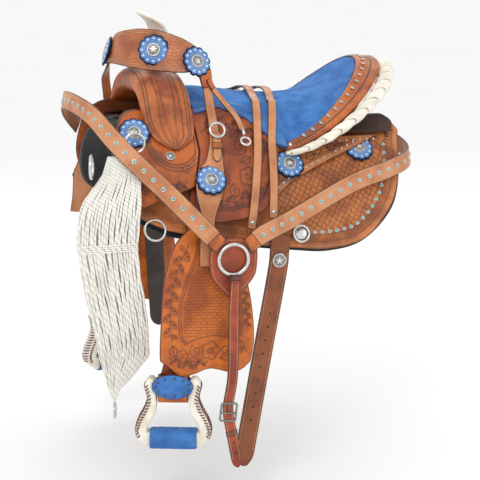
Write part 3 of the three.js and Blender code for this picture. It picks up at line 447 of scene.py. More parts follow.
# ---------------------------------------------------------------- meshes
class Solid:
    """Gathers geometry, in millimetres, into one Blender object."""

    def __init__(self):
        self.points, self.faces, self.looks = [], [], []
        self.values = {"edge": [], "along": [], "carve": [], "tooled": []}

    def add(self, points, faces, look=0, edge=FAR, along=0.0, carve=FAR, tooled=0.0):
        base = len(self.points)
        self.points += [tuple(p) for p in points]
        self.faces += [tuple(base + i for i in f) for f in faces]
        self.looks += [look] * len(faces)
        for key, value in (("edge", edge), ("along", along), ("carve", carve), ("tooled", tooled)):
            self.values[key] += list(np.broadcast_to(value, len(points)))

    def loft(self, rings, look=0, caps=True, closed=False, **values):
        rings = np.asarray(rings, float)
        rows, count = rings.shape[:2]
        faces = []
        for r in range(rows if closed else rows - 1):
            low, high = r * count, (r + 1) % rows * count
            for i in range(count):
                j = (i + 1) % count
                faces.append((low + i, low + j, high + j, high + i))
        if caps and not closed:
            faces.append(tuple(range(count))[::-1])
            faces.append(tuple((rows - 1) * count + i for i in range(count)))
        self.add(rings.reshape(-1, 3), faces, look, **values)

    def lathe(self, profile, centre, axis, sides=20, look=0):
        """A turned solid. The profile lists (radius, height) from below to above."""
        n = unit(axis)
        u, v = plane(n)
        a = round_turn(sides)
        circle = np.cos(a)[:, None] * u + np.sin(a)[:, None] * v
        self.loft([centre + n * h + circle * r for r, h in profile], look)

    def torus(self, centre, axis, radius, wire, steps, sides):
        n = unit(axis)
        u, v = plane(n)
        b = round_turn(sides)[:, None]
        rings = []
        for a in round_turn(steps):
            out = math.cos(a) * u + math.sin(a) * v
            rings.append(centre + out * radius + wire * (np.cos(b) * unit(out) + np.sin(b) * n))
        self.loft(rings, closed=True)

    def tube(self, path, radius, sides=8, closed=False):
        path = np.asarray(path, float)
        run = np.roll(path, -1, 0) - np.roll(path, 1, 0) if closed else np.gradient(path, axis=0)
        run /= np.linalg.norm(run, axis=1, keepdims=True)
        radii = np.broadcast_to(radius, len(path))
        side = plane(run[0])[0]
        b = round_turn(sides)[:, None]
        rings = []
        for p, t, r in zip(path, run, radii):
            side = unit(side - t * (side @ t))
            other = np.cross(t, side)
            rings.append(p + r * (np.cos(b) * side + np.sin(b) * other))
        self.loft(rings, closed=closed)

    def ball(self, centre, radius, look, axis):
        angles = np.radians(np.linspace(-80, 80, 6))
        profile = [(radius * math.cos(a), radius * math.sin(a)) for a in angles]
        self.lathe(profile, centre, axis, 10, look)

    def stitch(self, centre, run, normal, length=3.0, width=1.0, look=0):
        """One thread stitch that rises from its holes."""
        t, n = unit(run), unit(normal)
        s = np.cross(t, n)
        rings = []
        for share in (-1, -0.6, 0, 0.6, 1):
            rise = width * (1 - share ** 2) * 0.55
            r = width / 2 * (1.0 if abs(share) < 0.9 else 0.45)
            at = centre + t * share * length / 2 + n * rise
            corners = (0, 1.26, 2.51, 3.77, 5.03)
            rings.append([at + s * r * math.cos(a) + n * r * math.sin(a) for a in corners])
        self.loft(rings, look)

    def make(self, name, looks, body, slot, *nodes):
        mesh = bpy.data.meshes.new(name)
        mesh.from_pydata((np.array(self.points) * MM).tolist(), [], self.faces)
        for material in looks if isinstance(looks, list) else [looks]:
            mesh.materials.append(material)
        mesh.polygons.foreach_set("material_index", self.looks)
        mesh.polygons.foreach_set("use_smooth", [True] * len(self.faces))
        for key, values in self.values.items():
            layer = mesh.attributes.new(key, "FLOAT", "POINT")
            layer.data.foreach_set("value", np.array(values, np.float32))
        mesh.validate()
        piece = bpy.data.objects.new(name, mesh)
        bpy.context.scene.collection.objects.link(piece)
        face_outward(mesh)
        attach(piece, body)
        if nodes:
            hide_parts(*nodes)
        return piece


def plane(normal):
    n = unit(normal)
    start = np.array([1.0, 0, 0]) if abs(n[0]) < 0.8 else np.array([0, 0, 1.0])
    u = unit(start - n * (start @ n))
    return u, np.cross(n, u)


def face_outward(mesh):
    """Turns the faces so that each closed part's normals point out."""
    bm = bmesh.new()
    bm.from_mesh(mesh)
    bmesh.ops.recalc_face_normals(bm, faces=bm.faces)
    bm.to_mesh(mesh)
    bm.free()


CARVE_DEPTH, CARVE_HALF_WIDTH = 0.8, 1.5


def leather_sheet(solid, loop, place, thickness, spacing, rim, lines=(), tooled=None):
    """A flat cut piece laid on a surface. place(u, v, lift) gives the points of the surface."""
    loop = resample(loop, 3.5, closed=True)
    fine = resample(loop, 0.7, closed=True)
    edge_tree = tree_of(fine)
    groups = [loop] + [inset(loop, d) for d in (0.3 * rim, rim, 2.6 * rim)]
    low, high = loop.min(0), loop.max(0)
    gu, gv = np.meshgrid(np.arange(low[0], high[0], spacing), np.arange(low[1], high[1], spacing))
    grid = np.stack([gu.ravel(), gv.ravel()], axis=1)
    carve_tree = None
    if len(lines):
        carved = np.vstack([resample(line, 0.6) for line in lines])
        carve_tree = tree_of(carved)
        run = [resample(line, 2.0) for line in lines]
        groups += run
        for line in run:
            across = np.gradient(line, axis=0)
            across /= np.maximum(np.linalg.norm(across, axis=1, keepdims=True), 1e-9)
            normal = np.stack([-across[:, 1], across[:, 0]], axis=1)
            groups += [line + 1.7 * normal, line - 1.7 * normal]
        grid = grid[distances(grid, carve_tree)[0] > 2.8]
    kept = []
    for number, group in enumerate(groups[1:]):
        least = (0.2 * rim, 0.75 * rim, 2.0 * rim)[number] if number < 3 else 3.2 * rim
        group = group[inside(group, loop)]
        kept.append(group[distances(group, edge_tree)[0] > least])
    grid = grid[inside(grid, loop)]
    kept.append(grid[distances(grid, edge_tree)[0] > 3.6 * rim])
    others = np.vstack(kept)
    points = np.vstack([loop, others])
    ring = [(i, (i + 1) % len(loop)) for i in range(len(loop))]
    made = delaunay_2d_cdt([Vector(p) for p in points], ring, [], 1, 0.05)
    flat = np.array([tuple(v) for v in made[0]])
    triangles = made[2]
    edge, near = distances(flat, edge_tree)
    along = near * 0.7
    carve = np.full(len(flat), FAR) if carve_tree is None else distances(flat, carve_tree)[0]
    round_off = rounding(edge, rim)
    cut = CARVE_DEPTH * np.clip(1 - carve / CARVE_HALF_WIDTH, 0, 1)
    area = np.zeros(len(flat)) if tooled is None else np.clip(tooled(flat[:, 0], flat[:, 1], edge), 0, 1)
    top = place(flat[:, 0], flat[:, 1], -round_off - cut)
    bottom = place(flat[:, 0], flat[:, 1], round_off - thickness)
    n = len(flat)
    seen = dict.fromkeys(pair for f in triangles for pair in zip(f, f[1:] + f[:1]))
    sides = [(a, b, b + n, a + n) for a, b in seen if (b, a) not in seen]
    faces = [tuple(f) for f in triangles] + [tuple(i + n for i in reversed(f)) for f in triangles] + sides
    solid.add(np.vstack([top, bottom]), faces, edge=np.tile(edge, 2), along=np.tile(along, 2),
              carve=np.concatenate([carve, np.full(n, FAR)]), tooled=np.concatenate([area, np.zeros(n)]))


def on_barrel(grow, side):
    """Places side-view points on a layer of the barrel."""
    def place(x, z, lift=0.0):
        return np.stack([x, side * layer_y(grow + lift, z), z + 0 * x], axis=1)
    return place


def row_along(loop, distance, pitch):
    """Evenly spaced points, with their directions, on a line inside an outline."""
    line = resample(inset(resample(loop, 3.0, closed=True), distance), pitch, closed=True)
    return line, np.roll(line, -1, axis=0) - line


def stitch_border(solid, loop, distance, place, side, keep):
    line, run = row_along(loop, distance, 4.6)
    here = place(line[:, 0], line[:, 1], 0.1)
    there = place(line[:, 0] + run[:, 0] * 0.3, line[:, 1] + run[:, 1] * 0.3, 0.1)
    for p, q, (x, z) in zip(here, there, line):
        if keep(x, z):
            solid.stitch(p, q - p, facing(z, side), look=1)


def spot_row(solid, loop, distance, pitch, place, side, keep, stone_look, size):
    for x, z in row_along(loop, distance, pitch)[0]:
        if keep(x, z):
            at = place(np.array([x]), np.array([z]), 0.2)[0]
            spot(solid, at, facing(z, side), 2, stone_look, size)


# ---------------------------------------------------------------- straps
def strap_frames(points, step):
    """Centres, directions, normals, sideways vectors and widths at even steps along a strap."""
    p = np.array(points, float)
    dense = 24
    places = spline(p[:, :3], dense)
    index = np.linspace(0, len(p) - 1, len(places))
    rest = np.stack([np.interp(index, np.arange(len(p)), p[:, i]) for i in range(3, 7)], axis=1)
    length = np.concatenate([[0], np.cumsum(np.linalg.norm(np.diff(places, axis=0), axis=1))])
    count = max(int(round(length[-1] / step)), 2)
    at = np.linspace(0, length[-1], count + 1)
    centre = np.stack([np.interp(at, length, places[:, i]) for i in range(3)], axis=1)
    rest = np.stack([np.interp(at, length, rest[:, i]) for i in range(4)], axis=1)
    run = np.gradient(centre, axis=0)
    run /= np.linalg.norm(run, axis=1, keepdims=True)
    normal = rest[:, :3] - run * np.sum(rest[:, :3] * run, axis=1, keepdims=True)
    normal /= np.linalg.norm(normal, axis=1, keepdims=True)
    return centre, run, normal, np.cross(run, normal), rest[:, 3], at


def strap(solid, points, thickness, step=3.5, look=0, point=0.0, tooled=0.0):
    """A flat strap through points [x, y, z, nx, ny, nz, width], with rounded edges.
    point tapers the last stretch, in millimetres, to a tongue."""
    centre, _, normal, across, width, at = strap_frames(points, step)
    rim = 0.9
    insets = np.array([0, 0.3 * rim, rim, 2.4, 4.6, 7.5])
    rings, edges, alongs = [], [], []
    for i in range(len(centre)):
        half = width[i] / 2
        left = at[-1] - at[i]
        if point and left < point:
            half *= math.sqrt(max(1 - (1 - left / point) ** 2, 0.02))
        e = np.minimum(insets, half * np.linspace(0, 0.96, 6))
        drop = rounding(e, rim)
        aside = np.concatenate([e - half, half - e[::-1]])[:, None] * across[i]
        rise = (thickness / 2 - np.concatenate([drop, drop[::-1]]))[:, None] * normal[i]
        rings.append(np.vstack([centre[i] + aside + rise, (centre[i] + aside - rise)[::-1]]))
        end = min(at[i], left) + 0.4
        edges.append(np.minimum(np.tile(np.concatenate([e, e[::-1]]), 2), end))
        alongs.append(np.full(24, at[i]))
    solid.loft(rings, look, edge=np.concatenate(edges), along=np.concatenate(alongs), tooled=tooled)


def strap_stitches(solid, points, distance, lift, pitch=4.6, skip=6.0):
    centre, run, normal, across, width, at = strap_frames(points, pitch)
    for i in range(len(centre)):
        if at[i] < skip or at[-1] - at[i] < skip:
            continue
        for side in (-1, 1):
            place = centre[i] + across[i] * side * (width[i] / 2 - distance) + normal[i] * lift
            solid.stitch(place, run[i], normal[i], look=1)


def strap_length(points):
    return strap_frames(points, 1.0)[5][-1]


def at_lengths(points, lengths):
    """Centre, direction, normal and width of a strap at given distances from its start."""
    centre, run, normal, _, width, _ = strap_frames(points, 1.0)
    frames = centre, run, normal, width
    return [[f[min(int(round(s)), len(f) - 1)] for f in frames] for s in lengths]


def spot(solid, centre, normal, metal_look, stone_look, size):
    """A small round spot: a silver bezel with a turquoise stone."""
    solid.lathe([(size, -0.3), (size, 0.8), (size * 0.85, 1.5), (size * 0.66, 1.3), (size * 0.6, 0.6)],
                centre, normal, 14, metal_look)
    solid.lathe([(size * 0.6, 0.4), (size * 0.58, 1.4), (size * 0.4, 2.2), (size * 0.12, 2.5)],
                centre, normal, 12, stone_look)


def stud(solid, centre, normal, size, look):
    profile = [(size, -0.3), (size, 0.3), (size * 0.9, size * 0.42), (size * 0.6, size * 0.72),
               (size * 0.15, size * 0.86)]
    solid.lathe(profile, centre, normal, 14, look)


def concho(solid, centre, normal, up, radius, look, dark):
    """A round silver plate with a beaded rim, an engraved ground and a raised star."""
    n = unit(normal)
    u = unit(np.asarray(up, float) - n * (np.asarray(up, float) @ n))
    v = np.cross(n, u)
    rim = [(radius, -0.4), (radius, 1.0), (radius * 0.93, 1.7), (radius * 0.84, 1.1)]
    solid.lathe(rim, centre, n, 32, look)
    ground = [(radius * 0.84, 0.9), (radius * 0.8, 1.25), (radius * 0.2, 1.6)]
    solid.lathe(ground, centre, n, 32, dark)
    beads = max(int(radius * 1.7), 14)
    for i in range(beads):
        a = 2 * math.pi * i / beads
        spot_at = centre + (u * math.cos(a) + v * math.sin(a)) * radius * 0.89 + n * 1.5
        solid.ball(spot_at, radius * 0.075, look, n)
    star = []
    for i in range(10):
        a, r = math.pi * i / 5, radius * (0.62 if i % 2 == 0 else 0.26)
        star.append((u * math.cos(a) + v * math.sin(a)) * r)
    star = np.array(star)
    solid.loft([centre + n * 1.2 + star, centre + n * 2.0 + star * 0.98], look, caps=False)
    top = [centre + n * 2.0 + p * 0.98 for p in star] + [centre + n * (2.9 if radius > 8 else 2.4)]
    solid.add(top, [(i, (i + 1) % 10, 10) for i in range(10)], look)


def rosette(name, centre, normal):
    """A layered leather rosette with a crystal on each petal and a star concho."""
    s = Solid()
    n = unit(normal)
    u, v = plane(n)
    if abs(n[2]) < 0.95:
        u = unit(np.array([0, 0, 1.0]) - n * n[2])
        v = np.cross(n, u)
    a = round_turn(144)
    scallop = 0.87 + 0.13 * np.abs(np.cos(6 * a)) ** 0.6
    circle = np.cos(a)[:, None] * u + np.sin(a)[:, None] * v
    centre = np.asarray(centre, float)
    for radius, low, high, look, dome in ((30.0, -1.0, 1.0, 0, 0.0), (27.4, 1.0, 2.6, 1, 1.2)):
        rings, edges = [], []
        for share, height in ((1.0, low), (1.0, high - 0.5), (0.975, high - 0.08), (0.93, high),
                              (0.7, high + dome * 0.6), (0.4, high + dome), (0.02, high + dome)):
            blend = scallop if share > 0.85 else 1 + (scallop - 1) * (share / 0.85) ** 3
            rings.append(centre + n * height + circle * (radius * share * blend)[:, None])
            edges.append(np.full(144, (1 - share) * radius))
        s.loft(rings, look, edge=np.concatenate(edges))
    for t in round_turn(12):
        at = centre + (u * math.cos(t) + v * math.sin(t)) * 21.5 + n * 3.0
        s.lathe([(2.3, -0.3), (2.3, 0.5), (1.7, 0.9)], at, n, 10, 2)
        s.lathe([(1.7, 0.6), (1.6, 1.2), (0.7, 2.0)], at, n, 8, 4)
    for t in round_turn(28):
        at = centre + (u * math.cos(t) + v * math.sin(t)) * 15.2 + n * 3.7
        s.stitch(at, -u * math.sin(t) + v * math.cos(t), n, 2.4, 0.8, 5)
    concho(s, centre + n * 3.6, n, u, 12.5, 2, 3)
    s.make(name, [NAVY, PETAL, NICKEL, ANTIQUE_AND_SHADED_SILVER, CRYSTAL, THREAD], "saddle", "blue_suede")


def side_rosette(name, x, z, grow, side):
    normal = facing(z, side)
    centre = np.array([x, side * float(layer_y(grow, z)), z]) + normal * 1.0
    rosette(name, centre, normal)


# ---------------------------------------------------------------- camera, light and floor
CAMERA_AT, CAMERA_AIM = np.array([-858.3, -2460.3, 346.1]), np.array([-72.4, -41.6, -194.5])
FLOOR_Z = -640.0


def area_light(name, at, aim, size, power, tone=(1, 1, 1)):
    data = bpy.data.lights.new(name, "AREA")
    data.shape, data.size, data.energy, data.color = "DISK", size, power, tone
    lamp = bpy.data.objects.new(name, data)
    lamp.location = Vector(at) * MM
    lamp.rotation_euler = (Vector(aim) - Vector(at)).to_track_quat("-Z", "Y").to_euler()
    bpy.context.scene.collection.objects.link(lamp)


def build_stage():
    camera = bpy.data.objects.new("camera", bpy.data.cameras.new("camera"))
    camera.data.lens, camera.data.sensor_width = 97.5, 36.0
    camera.data.clip_start, camera.data.clip_end = 0.1, 200
    camera.location = Vector(CAMERA_AT) * MM
    camera.rotation_euler = Vector(CAMERA_AIM - CAMERA_AT).to_track_quat("-Z", "Y").to_euler()
    bpy.context.scene.collection.objects.link(camera)
    bpy.context.scene.camera = camera
    reach = 60.0
    mesh = bpy.data.meshes.new("floor")
    corners = [(-reach, -reach, 0), (reach, -reach, 0), (reach, reach, 0), (-reach, reach, 0)]
    mesh.from_pydata(corners, [], [(0, 1, 2, 3)])
    floor = bpy.data.objects.new("floor", mesh)
    floor.location.z = FLOOR_Z * MM
    bpy.context.scene.collection.objects.link(floor)
    g = Graph("floor_paper", Roughness=0.9)
    mesh.materials.append(g.finish(g.mix(g.noise(g.place(), 900, 2), srgb("fbfbfb"), srgb("f4f4f4"))))
    world = bpy.data.worlds.new("studio")
    world.use_nodes = True
    background = world.node_tree.nodes["Background"]
    background.inputs[0].default_value = (1.0, 1.0, 1.0, 1.0)
    background.inputs[1].default_value = 1.0
    bpy.context.scene.world = world
    bpy.context.scene.view_settings.view_transform = "Standard"
    centre = (-50, 0, -150)
    area_light("key", (-1500, -2000, 1900), centre, 1.5, 22, (1.0, 0.98, 0.95))
    area_light("fill", (1900, -1800, 700), centre, 1.8, 5, (0.96, 0.98, 1.0))
    area_light("back", (600, 2200, 1700), centre, 1.6, 10)


# ---------------------------------------------------------------- panels on the barrel
def skirt_loop(grow):
    g = grow
    return outline(
        [[-306, 52], [-336 - g, 26], [-345 - g, -40], [-328 - g, -96 - g], [-270, -128 - 2 * g]],
        [[-270, -128 - 2 * g], [-150, -156 - g], [-32, -172 - g], [41, -178 - g], [114, -163 - g],
         [174 + g, -108 - g], [204 + g, -45], [217 + g, 8], [226 + g, 26]],
        [[226 + g, 26], [214, 44], [180, 54], [150, 52]],
        [[150, 52], [-306, 52]])


def side_name(side):
    return "near" if side == NEAR_SIDE else "far"


def build_lining(side):
    s = Solid()
    leather_sheet(s, skirt_loop(6), on_barrel(LINING, side), 15.5, 9.0, rim=6.0)
    s.make(f"lining_{side_name(side)}_pile", FLEECE, "saddle", "fleece", f"lining_{side_name(side)}")


def build_skirt(side):
    """Skirt with a fan-stamped border, a row of spots and a plain stitched rim."""
    tag = side_name(side)
    s = Solid()
    loop = skirt_loop(0)
    place = on_barrel(SKIRT, side)
    arcs = []
    for depth, top in ((13, 30), (27, 24)):
        line = [p for p in inset(resample(loop, 4, closed=True), depth) if p[0] > -20 and p[1] < top]
        arcs.append(np.array(sorted(line, key=lambda p: math.atan2(p[1] + 40, p[0] - 60))))

    def scales(x, z, edge):
        return ((edge > 29) & (x > -60)).astype(float)

    leather_sheet(s, loop, place, 4.6, 7.0, lines=arcs, tooled=scales, rim=1.3)
    stitch_border(s, loop, 5.5, place, side, lambda x, z: z < 40)
    spot_row(s, loop, 31, 15, place, side, lambda x, z: x > -8 and z < 2, 3, 3.9)
    s.make(f"skirt_{tag}_leather", [SCALED, THREAD, NICKEL, TURQUOISE], "saddle", "saddle_leather",
           f"skirt_{tag}")


REAR_LOOP = outline(
    [[-128, -90], [-87, -97], [-24, -55], [40, -27], [101, -5], [150, 12], [176, 22]],
    [[176, 22], [-44, 22]], [[-44, 22], [-128, -34]], [[-128, -34], [-128, -90]])


def build_rear_jockey(side):
    tag = side_name(side)
    s = Solid()
    place = on_barrel(REAR_JOCKEY, side)
    lines = flower(-8, -12, 13) + [scroll(40, 2, 12, 200, 1.3), scroll(86, 10, 8, 20, 1.2, -1),
                                   scroll(-52, -44, 12, 120, 1.2)]
    lines += vine([[-112, -70], [-80, -72], [-44, -52], [-20, -40]], 10, 12)
    lines += leaf(14, -14, 22, 20) + leaf(60, 2, 20, 10) + leaf(-40, -30, 24, 200)
    leather_sheet(s, REAR_LOOP, place, 4.0, 5.0, lines=lines, rim=1.3,
                  tooled=lambda x, z, edge: ((edge > 18) & (z < 18)).astype(float))
    stitch_border(s, REAR_LOOP, 4.5, place, side, lambda x, z: z < 16 and x > -120)
    spot_row(s, REAR_LOOP, 8.5, 14, place, side, lambda x, z: x > -60 and z < 14, 2, 2.6)
    s.make(f"rear_jockey_{tag}_leather", [REAR_TOOLED, THREAD, NICKEL], "saddle", "saddle_leather",
           f"rear_jockey_{tag}")
    side_rosette(f"rosette_wing_{tag}", -22, -23, REAR_JOCKEY + 1, side)
    side_rosette(f"rosette_rear_{tag}", 130, -2, SKIRT + 1, side)


SEAT_JOCKEY_LOOP = outline(
    [[-221, -100], [-200, -110], [-178, -114], [-126, -110], [-95, -100], [-79, -90]],
    [[-79, -90], [-60, -50], [-44, 0], [-42, 13]],
    [[-42, 13], [-69, 50], [-93, 72], [-138, 80], [-195.5, 80]],
    [[-195.5, 80], [-195.5, 8]], [[-195.5, 8], [-213, -46]], [[-213, -46], [-221, -100]])


def build_seat_jockey(side):
    """Seat jockey: carved leaves and arcs above a smooth lower band."""
    tag = side_name(side)
    s = Solid()
    place = on_barrel(JOCKEY, side)
    band = [[-214, -84], [-180, -94], [-130, -91], [-92, -80], [-72, -50]]
    lines = [spline(band, 12), spline([[x, z + 4] for x, z in band], 12)]
    lines += flower(-112, -38, 17) + flower(-165, 2, 13)
    lines += [scroll(*cut) for cut in (
        (-140, -62, 13, 90, 1.4), (-88, -62, 9, 40, 1.2, -1), (-118, 14, 15, 250, 1.5),
        (-84, -8, 12, 140, 1.3, -1), (-76, 30, 10, 10, 1.2), (-178, -58, 13, 60, 1.3, -1))]
    lines += vine([[-206, -30], [-190, -66], [-150, -80], [-104, -68]], 14, 15)
    lines += vine([[-186, 40], [-150, 54], [-112, 48], [-84, 28], [-62, 0]], 13, 14)
    lines += leaf(-160, -26, 26, -70) + leaf(-132, 30, 24, 30)
    lines += leaf(-100, -6, 22, 200) + leaf(-64, 2, 20, 110)
    leather_sheet(s, SEAT_JOCKEY_LOOP, place, 4.4, 5.0, lines=lines, rim=1.4,
                  tooled=lambda x, z, edge: (z > -76) * (edge > 10) * 0.55)
    s.make(f"seat_jockey_{tag}_leather", [FLORAL], "saddle", "saddle_leather", f"seat_jockey_{tag}")


FRONT_LOOP = outline(
    [[-197, 8], [-216, -51]], [[-216, -51], [-314, -82]],
    [[-314, -82], [-340, -70], [-352, -30], [-350, 18], [-341, 54], [-322, 76], [-297, 82]],
    [[-297, 82], [-260, 76], [-197, 76]], [[-197, 76], [-197, 8]])


def build_front_jockey(side):
    """Front jockey with double lines that follow the fork's round tip."""
    tag = side_name(side)
    s = Solid()
    place = on_barrel(JOCKEY, side)
    lines = []
    for wide in (8, 12, 17):
        a = np.radians(np.linspace(150, 385, 26))
        lines.append(np.stack([-241 + (36 + wide) * np.cos(a), 30 + (26 + wide) * np.sin(a) * 1.25], axis=1))
    lines = [line[(line[:, 0] < -201) & (line[:, 1] < 72)] for line in lines]
    lines += vine([[-326, 10], [-322, -26], [-300, -54], [-262, -58], [-228, -42]], 12, 13)
    lines += [scroll(-226, -22, 9, 30, 1.3)] + leaf(-300, -30, 34, -50) + leaf(-268, -48, 30, -15, 0.22)
    lines += [spline([[-336, 44], [-342, 0], [-336, -44], [-318, -70]], 10)]
    leather_sheet(s, FRONT_LOOP, place, 4.4, 5.0, lines=lines, rim=1.4)
    small = np.array([-253, side * float(layer_y(JOCKEY + 0.6, 3)), 3.0])
    concho(s, small, facing(3, side), (0, 0, 1), 9.0, 1, 2)
    s.make(f"front_jockey_{tag}_leather", [LEATHER, NICKEL, ANTIQUE_AND_SHADED_SILVER], "saddle", "saddle_leather",
           f"front_jockey_{tag}")
    centre = np.array([-314, side * (float(layer_y(JOCKEY, 42)) + 7.0), 44.0])
    rosette(f"rosette_front_{tag}", centre, unit([-0.12, side * 0.86, 0.5]))


# ---------------------------------------------------------------- fenders, leathers and stirrups
FENDER_LOOP = outline(
    [[-232, -122], [-262, -150], [-284, -200], [-294, -262], [-299, -330], [-299, -358]],
    [[-299, -358], [-282, -372], [-262, -390], [-236, -388], [-205, -380], [-169, -390],
     [-146, -388], [-127, -374]],
    [[-127, -374], [-120, -330], [-124, -262], [-136, -200], [-160, -150], [-190, -122]],
    [[-190, -122], [-232, -122]])


def build_fender(side):
    """Fender: scrolls down the front edge, basket weave in the middle, flowers at the foot."""
    tag = side_name(side)
    s = Solid()
    place = on_barrel(FENDER, side)
    front = [[-216, -140], [-226, -172], [-248, -218], [-262, -262], [-262, -312], [-252, -330]]
    back = [[-188, -140], [-168, -178], [-152, -230], [-147, -290], [-150, -322]]
    lines = [spline(front, 14), spline([[x + 4.5, z] for x, z in front], 14)]
    lines += [spline(back, 14), spline([[x + 4, z] for x, z in back], 14)]
    lines += [spline([[-252, -330], [-230, -322], [-200, -318], [-170, -322], [-150, -322]], 10)]
    lines += vine([[-236, -150], [-262, -196], [-276, -250], [-280, -300], [-276, -322]], 15, 13)
    lines += flower(-204, -346, 18) + flower(-258, -352, 12)
    lines += [scroll(-232, -344, 13, 120, 1.4), scroll(-174, -346, 14, 60, 1.4, -1),
              scroll(-146, -352, 9, 0, 1.1)]
    lines += leaf(-186, -362, 26, 12) + leaf(-224, -366, 26, 170)
    lines += leaf(-148, -330, 22, -80) + leaf(-276, -330, 24, -80)
    lines += vine([[-166, -160], [-148, -200], [-136, -250], [-132, -310]], 9, 10)
    lines += vine([[-284, -352], [-262, -366], [-236, -370], [-210, -366]], 10, 11)

    def weave(x, z, edge):
        left = np.interp(-z, [140, 172, 218, 262, 312], [-209, -219, -240, -255, -255])
        right = np.interp(-z, [140, 178, 230, 290, 322], [-190, -171, -155, -150, -153])
        return ((x > left) & (x < right) & (z > -317) & (z < -142)).astype(float)

    leather_sheet(s, FENDER_LOOP, place, 4.0, 3.6, lines=lines, tooled=weave, rim=1.3)
    s.make(f"fender_{tag}_leather", [WOVEN], f"{tag}_fender", "saddle_leather", f"fender_{tag}")


def in_stirrup(points, side):
    """Points given in the stirrup's own frame, moved to the row frame."""
    p = np.asarray(points, float)
    c, s = math.cos(STIRRUP_YAW), math.sin(STIRRUP_YAW)
    turned = np.stack([p[..., 0] * c - p[..., 1] * s, p[..., 0] * s + p[..., 1] * c, p[..., 2]], axis=-1)
    return (turned + STIRRUP_CENTRE) * [1, -side, 1]


def turn_in_stirrup(vector, side):
    return in_stirrup(vector, side) - in_stirrup([0, 0, 0], side)


def build_stirrup_leather(side):
    tag = side_name(side)
    s = Solid()
    nx, ny = math.sin(STIRRUP_YAW), -math.cos(STIRRUP_YAW)
    sx, sy, sz = STIRRUP_CENTRE
    hung = ((-190, 14, 26), (-196, -32, 34), (-210, -110, 46), (-228, -210, 56), (-250, -310, 56))
    points = [on_layer(x, z, width, 11.4) for x, z, width in hung]
    points += [[sx + 5, sy - 1, -386, 0, -1, 0, 54], [sx, sy, sz + 14, nx, ny, 0, 56]]
    strap(s, mirrored(points, side), 3.6)
    path = [[0, -3, 24], [0, -5.5, 17], [0, -11, 7], [0, -11.6, -6], [0, -11, -16],
            [0, -7.5, -23], [0, 0, -26],
            [0, 7.5, -23], [0, 11, -16], [0, 11.6, -6], [0, 11, 7], [0, 5.5, 17], [0, 3, 24]]
    out = [[0, p[1], p[2] + 6] for p in path]
    around = []
    for i, p in enumerate(path):
        q = out[i] if abs(p[1]) > 0.1 else [0, 0, -20]
        n = turn_in_stirrup(unit([0, q[1], max(min(q[2], 0), -20) if abs(q[1]) < 11.2 else 0.0]), side)
        around.append([*in_stirrup(p, side), *n, 55])
    strap(s, around, 4.0, look=1)
    s.make(f"stirrup_leather_{tag}_strap", [LEATHER, WOVEN], f"{tag}_fender", "tack_leather",
           f"stirrup_leather_{tag}")


def build_hobble_patch(side):
    """Blue oval patch, domed over the leather, with a ring of studs."""
    tag = side_name(side)
    s = Solid()
    a = round_turn(72)
    shape = np.stack([38 * np.cos(a), 23 * np.sin(a)], axis=1)

    def place(u, v, lift=0.0):
        bow = 1.5 * (1 - (u / 38) ** 2)
        return in_stirrup(np.stack([u, -21 - lift - bow, v + 8], axis=1), side)

    leather_sheet(s, shape, place, 3.0, 4.0, rim=1.2)
    face = turn_in_stirrup([0, -1, 0], side)
    for i in range(11):
        t = 2 * math.pi * (i + 0.5) / 11
        u, v = np.array([31 * math.cos(t)]), np.array([16.5 * math.sin(t)])
        stud(s, place(u, v, 0.1)[0], face, 2.6, 1)
    band = [[-26, -16, 4, 0, -1, 0, 24], [-28, 0, 4, -1, 0, 0, 24], [-26, 16, 4, 0, 1, 0, 24],
            [26, 16, 4, 0, 1, 0, 24], [28, 0, 4, 1, 0, 0, 24], [26, -16, 4, 0, -1, 0, 24]]
    keeper = [[*in_stirrup(p[:3], side), *turn_in_stirrup(p[3:6], side), p[6]] for p in band]
    strap(s, keeper, 2.4, look=2)
    s.make(f"hobble_patch_{tag}_suede", [SUEDE, DARK_STEEL, BLACK_LEATHER_AND_HOLE_SHADE], f"{tag}_fender", "blue_suede",
           f"hobble_patch_{tag}")


STIRRUP_HALF = [[30.5, 18], [37, 24], [46, 22], [51, 10], [46, -14], [52, -34], [63, -55], [69, -75],
                [64, -92], [50, -106]]
STIRRUP_INNER = [[30.5, 18], [30.5, -30], [34, -46], [45, -64], [49, -79]]


def build_stirrup(side):
    """Bell stirrup in rawhide, laced along its outer edges."""
    tag = side_name(side)
    s = Solid()
    left = [[-x, z] for x, z in STIRRUP_HALF][::-1]
    inner_left = [[-x, z] for x, z in STIRRUP_INNER]
    loop = outline(STIRRUP_HALF, [[50, -106], [-50, -106]], left, inner_left, [[-49, -79], [49, -79]],
                   STIRRUP_INNER[::-1])

    def place(u, v, lift=0.0):
        return in_stirrup(np.stack([u, -15 - lift, v - 4], axis=1), side)

    leather_sheet(s, loop, place, 30.0, 5.0, rim=4.5)
    edge = resample(spline(STIRRUP_HALF[3:-1], 8), 6.0)
    for sign in (-1, 1):
        for i, (u, v) in enumerate(edge[:-1]):
            ahead = edge[i + 1] - edge[i]
            run = np.array([sign * ahead[0], ahead[1]]) / np.linalg.norm(ahead)
            across = np.array([-run[1], run[0]]) * sign
            tilt = unit(np.array([across[0] + run[0] * 0.7, 0, across[1] + run[1] * 0.7]))
            for face, y in ((-1, -14.6), (1, 14.6)):
                at = in_stirrup([sign * u - across[0] * 3.2, y, v - 4 - across[1] * 3.2], side)
                s.stitch(at, turn_in_stirrup(tilt, side), turn_in_stirrup([0, face, 0], side), 8.0, 2.6, 1)
            at = in_stirrup([sign * u, 0, v - 4], side)
            out = turn_in_stirrup([across[0], 0, across[1]], side)
            s.stitch(at, turn_in_stirrup([0, 1, 0.25], side), out, 26.0, 2.6, 1)
    s.make(f"stirrup_{tag}_rawhide", [RAWHIDE, LACE], f"{tag}_stirrup", "rawhide", f"stirrup_{tag}")


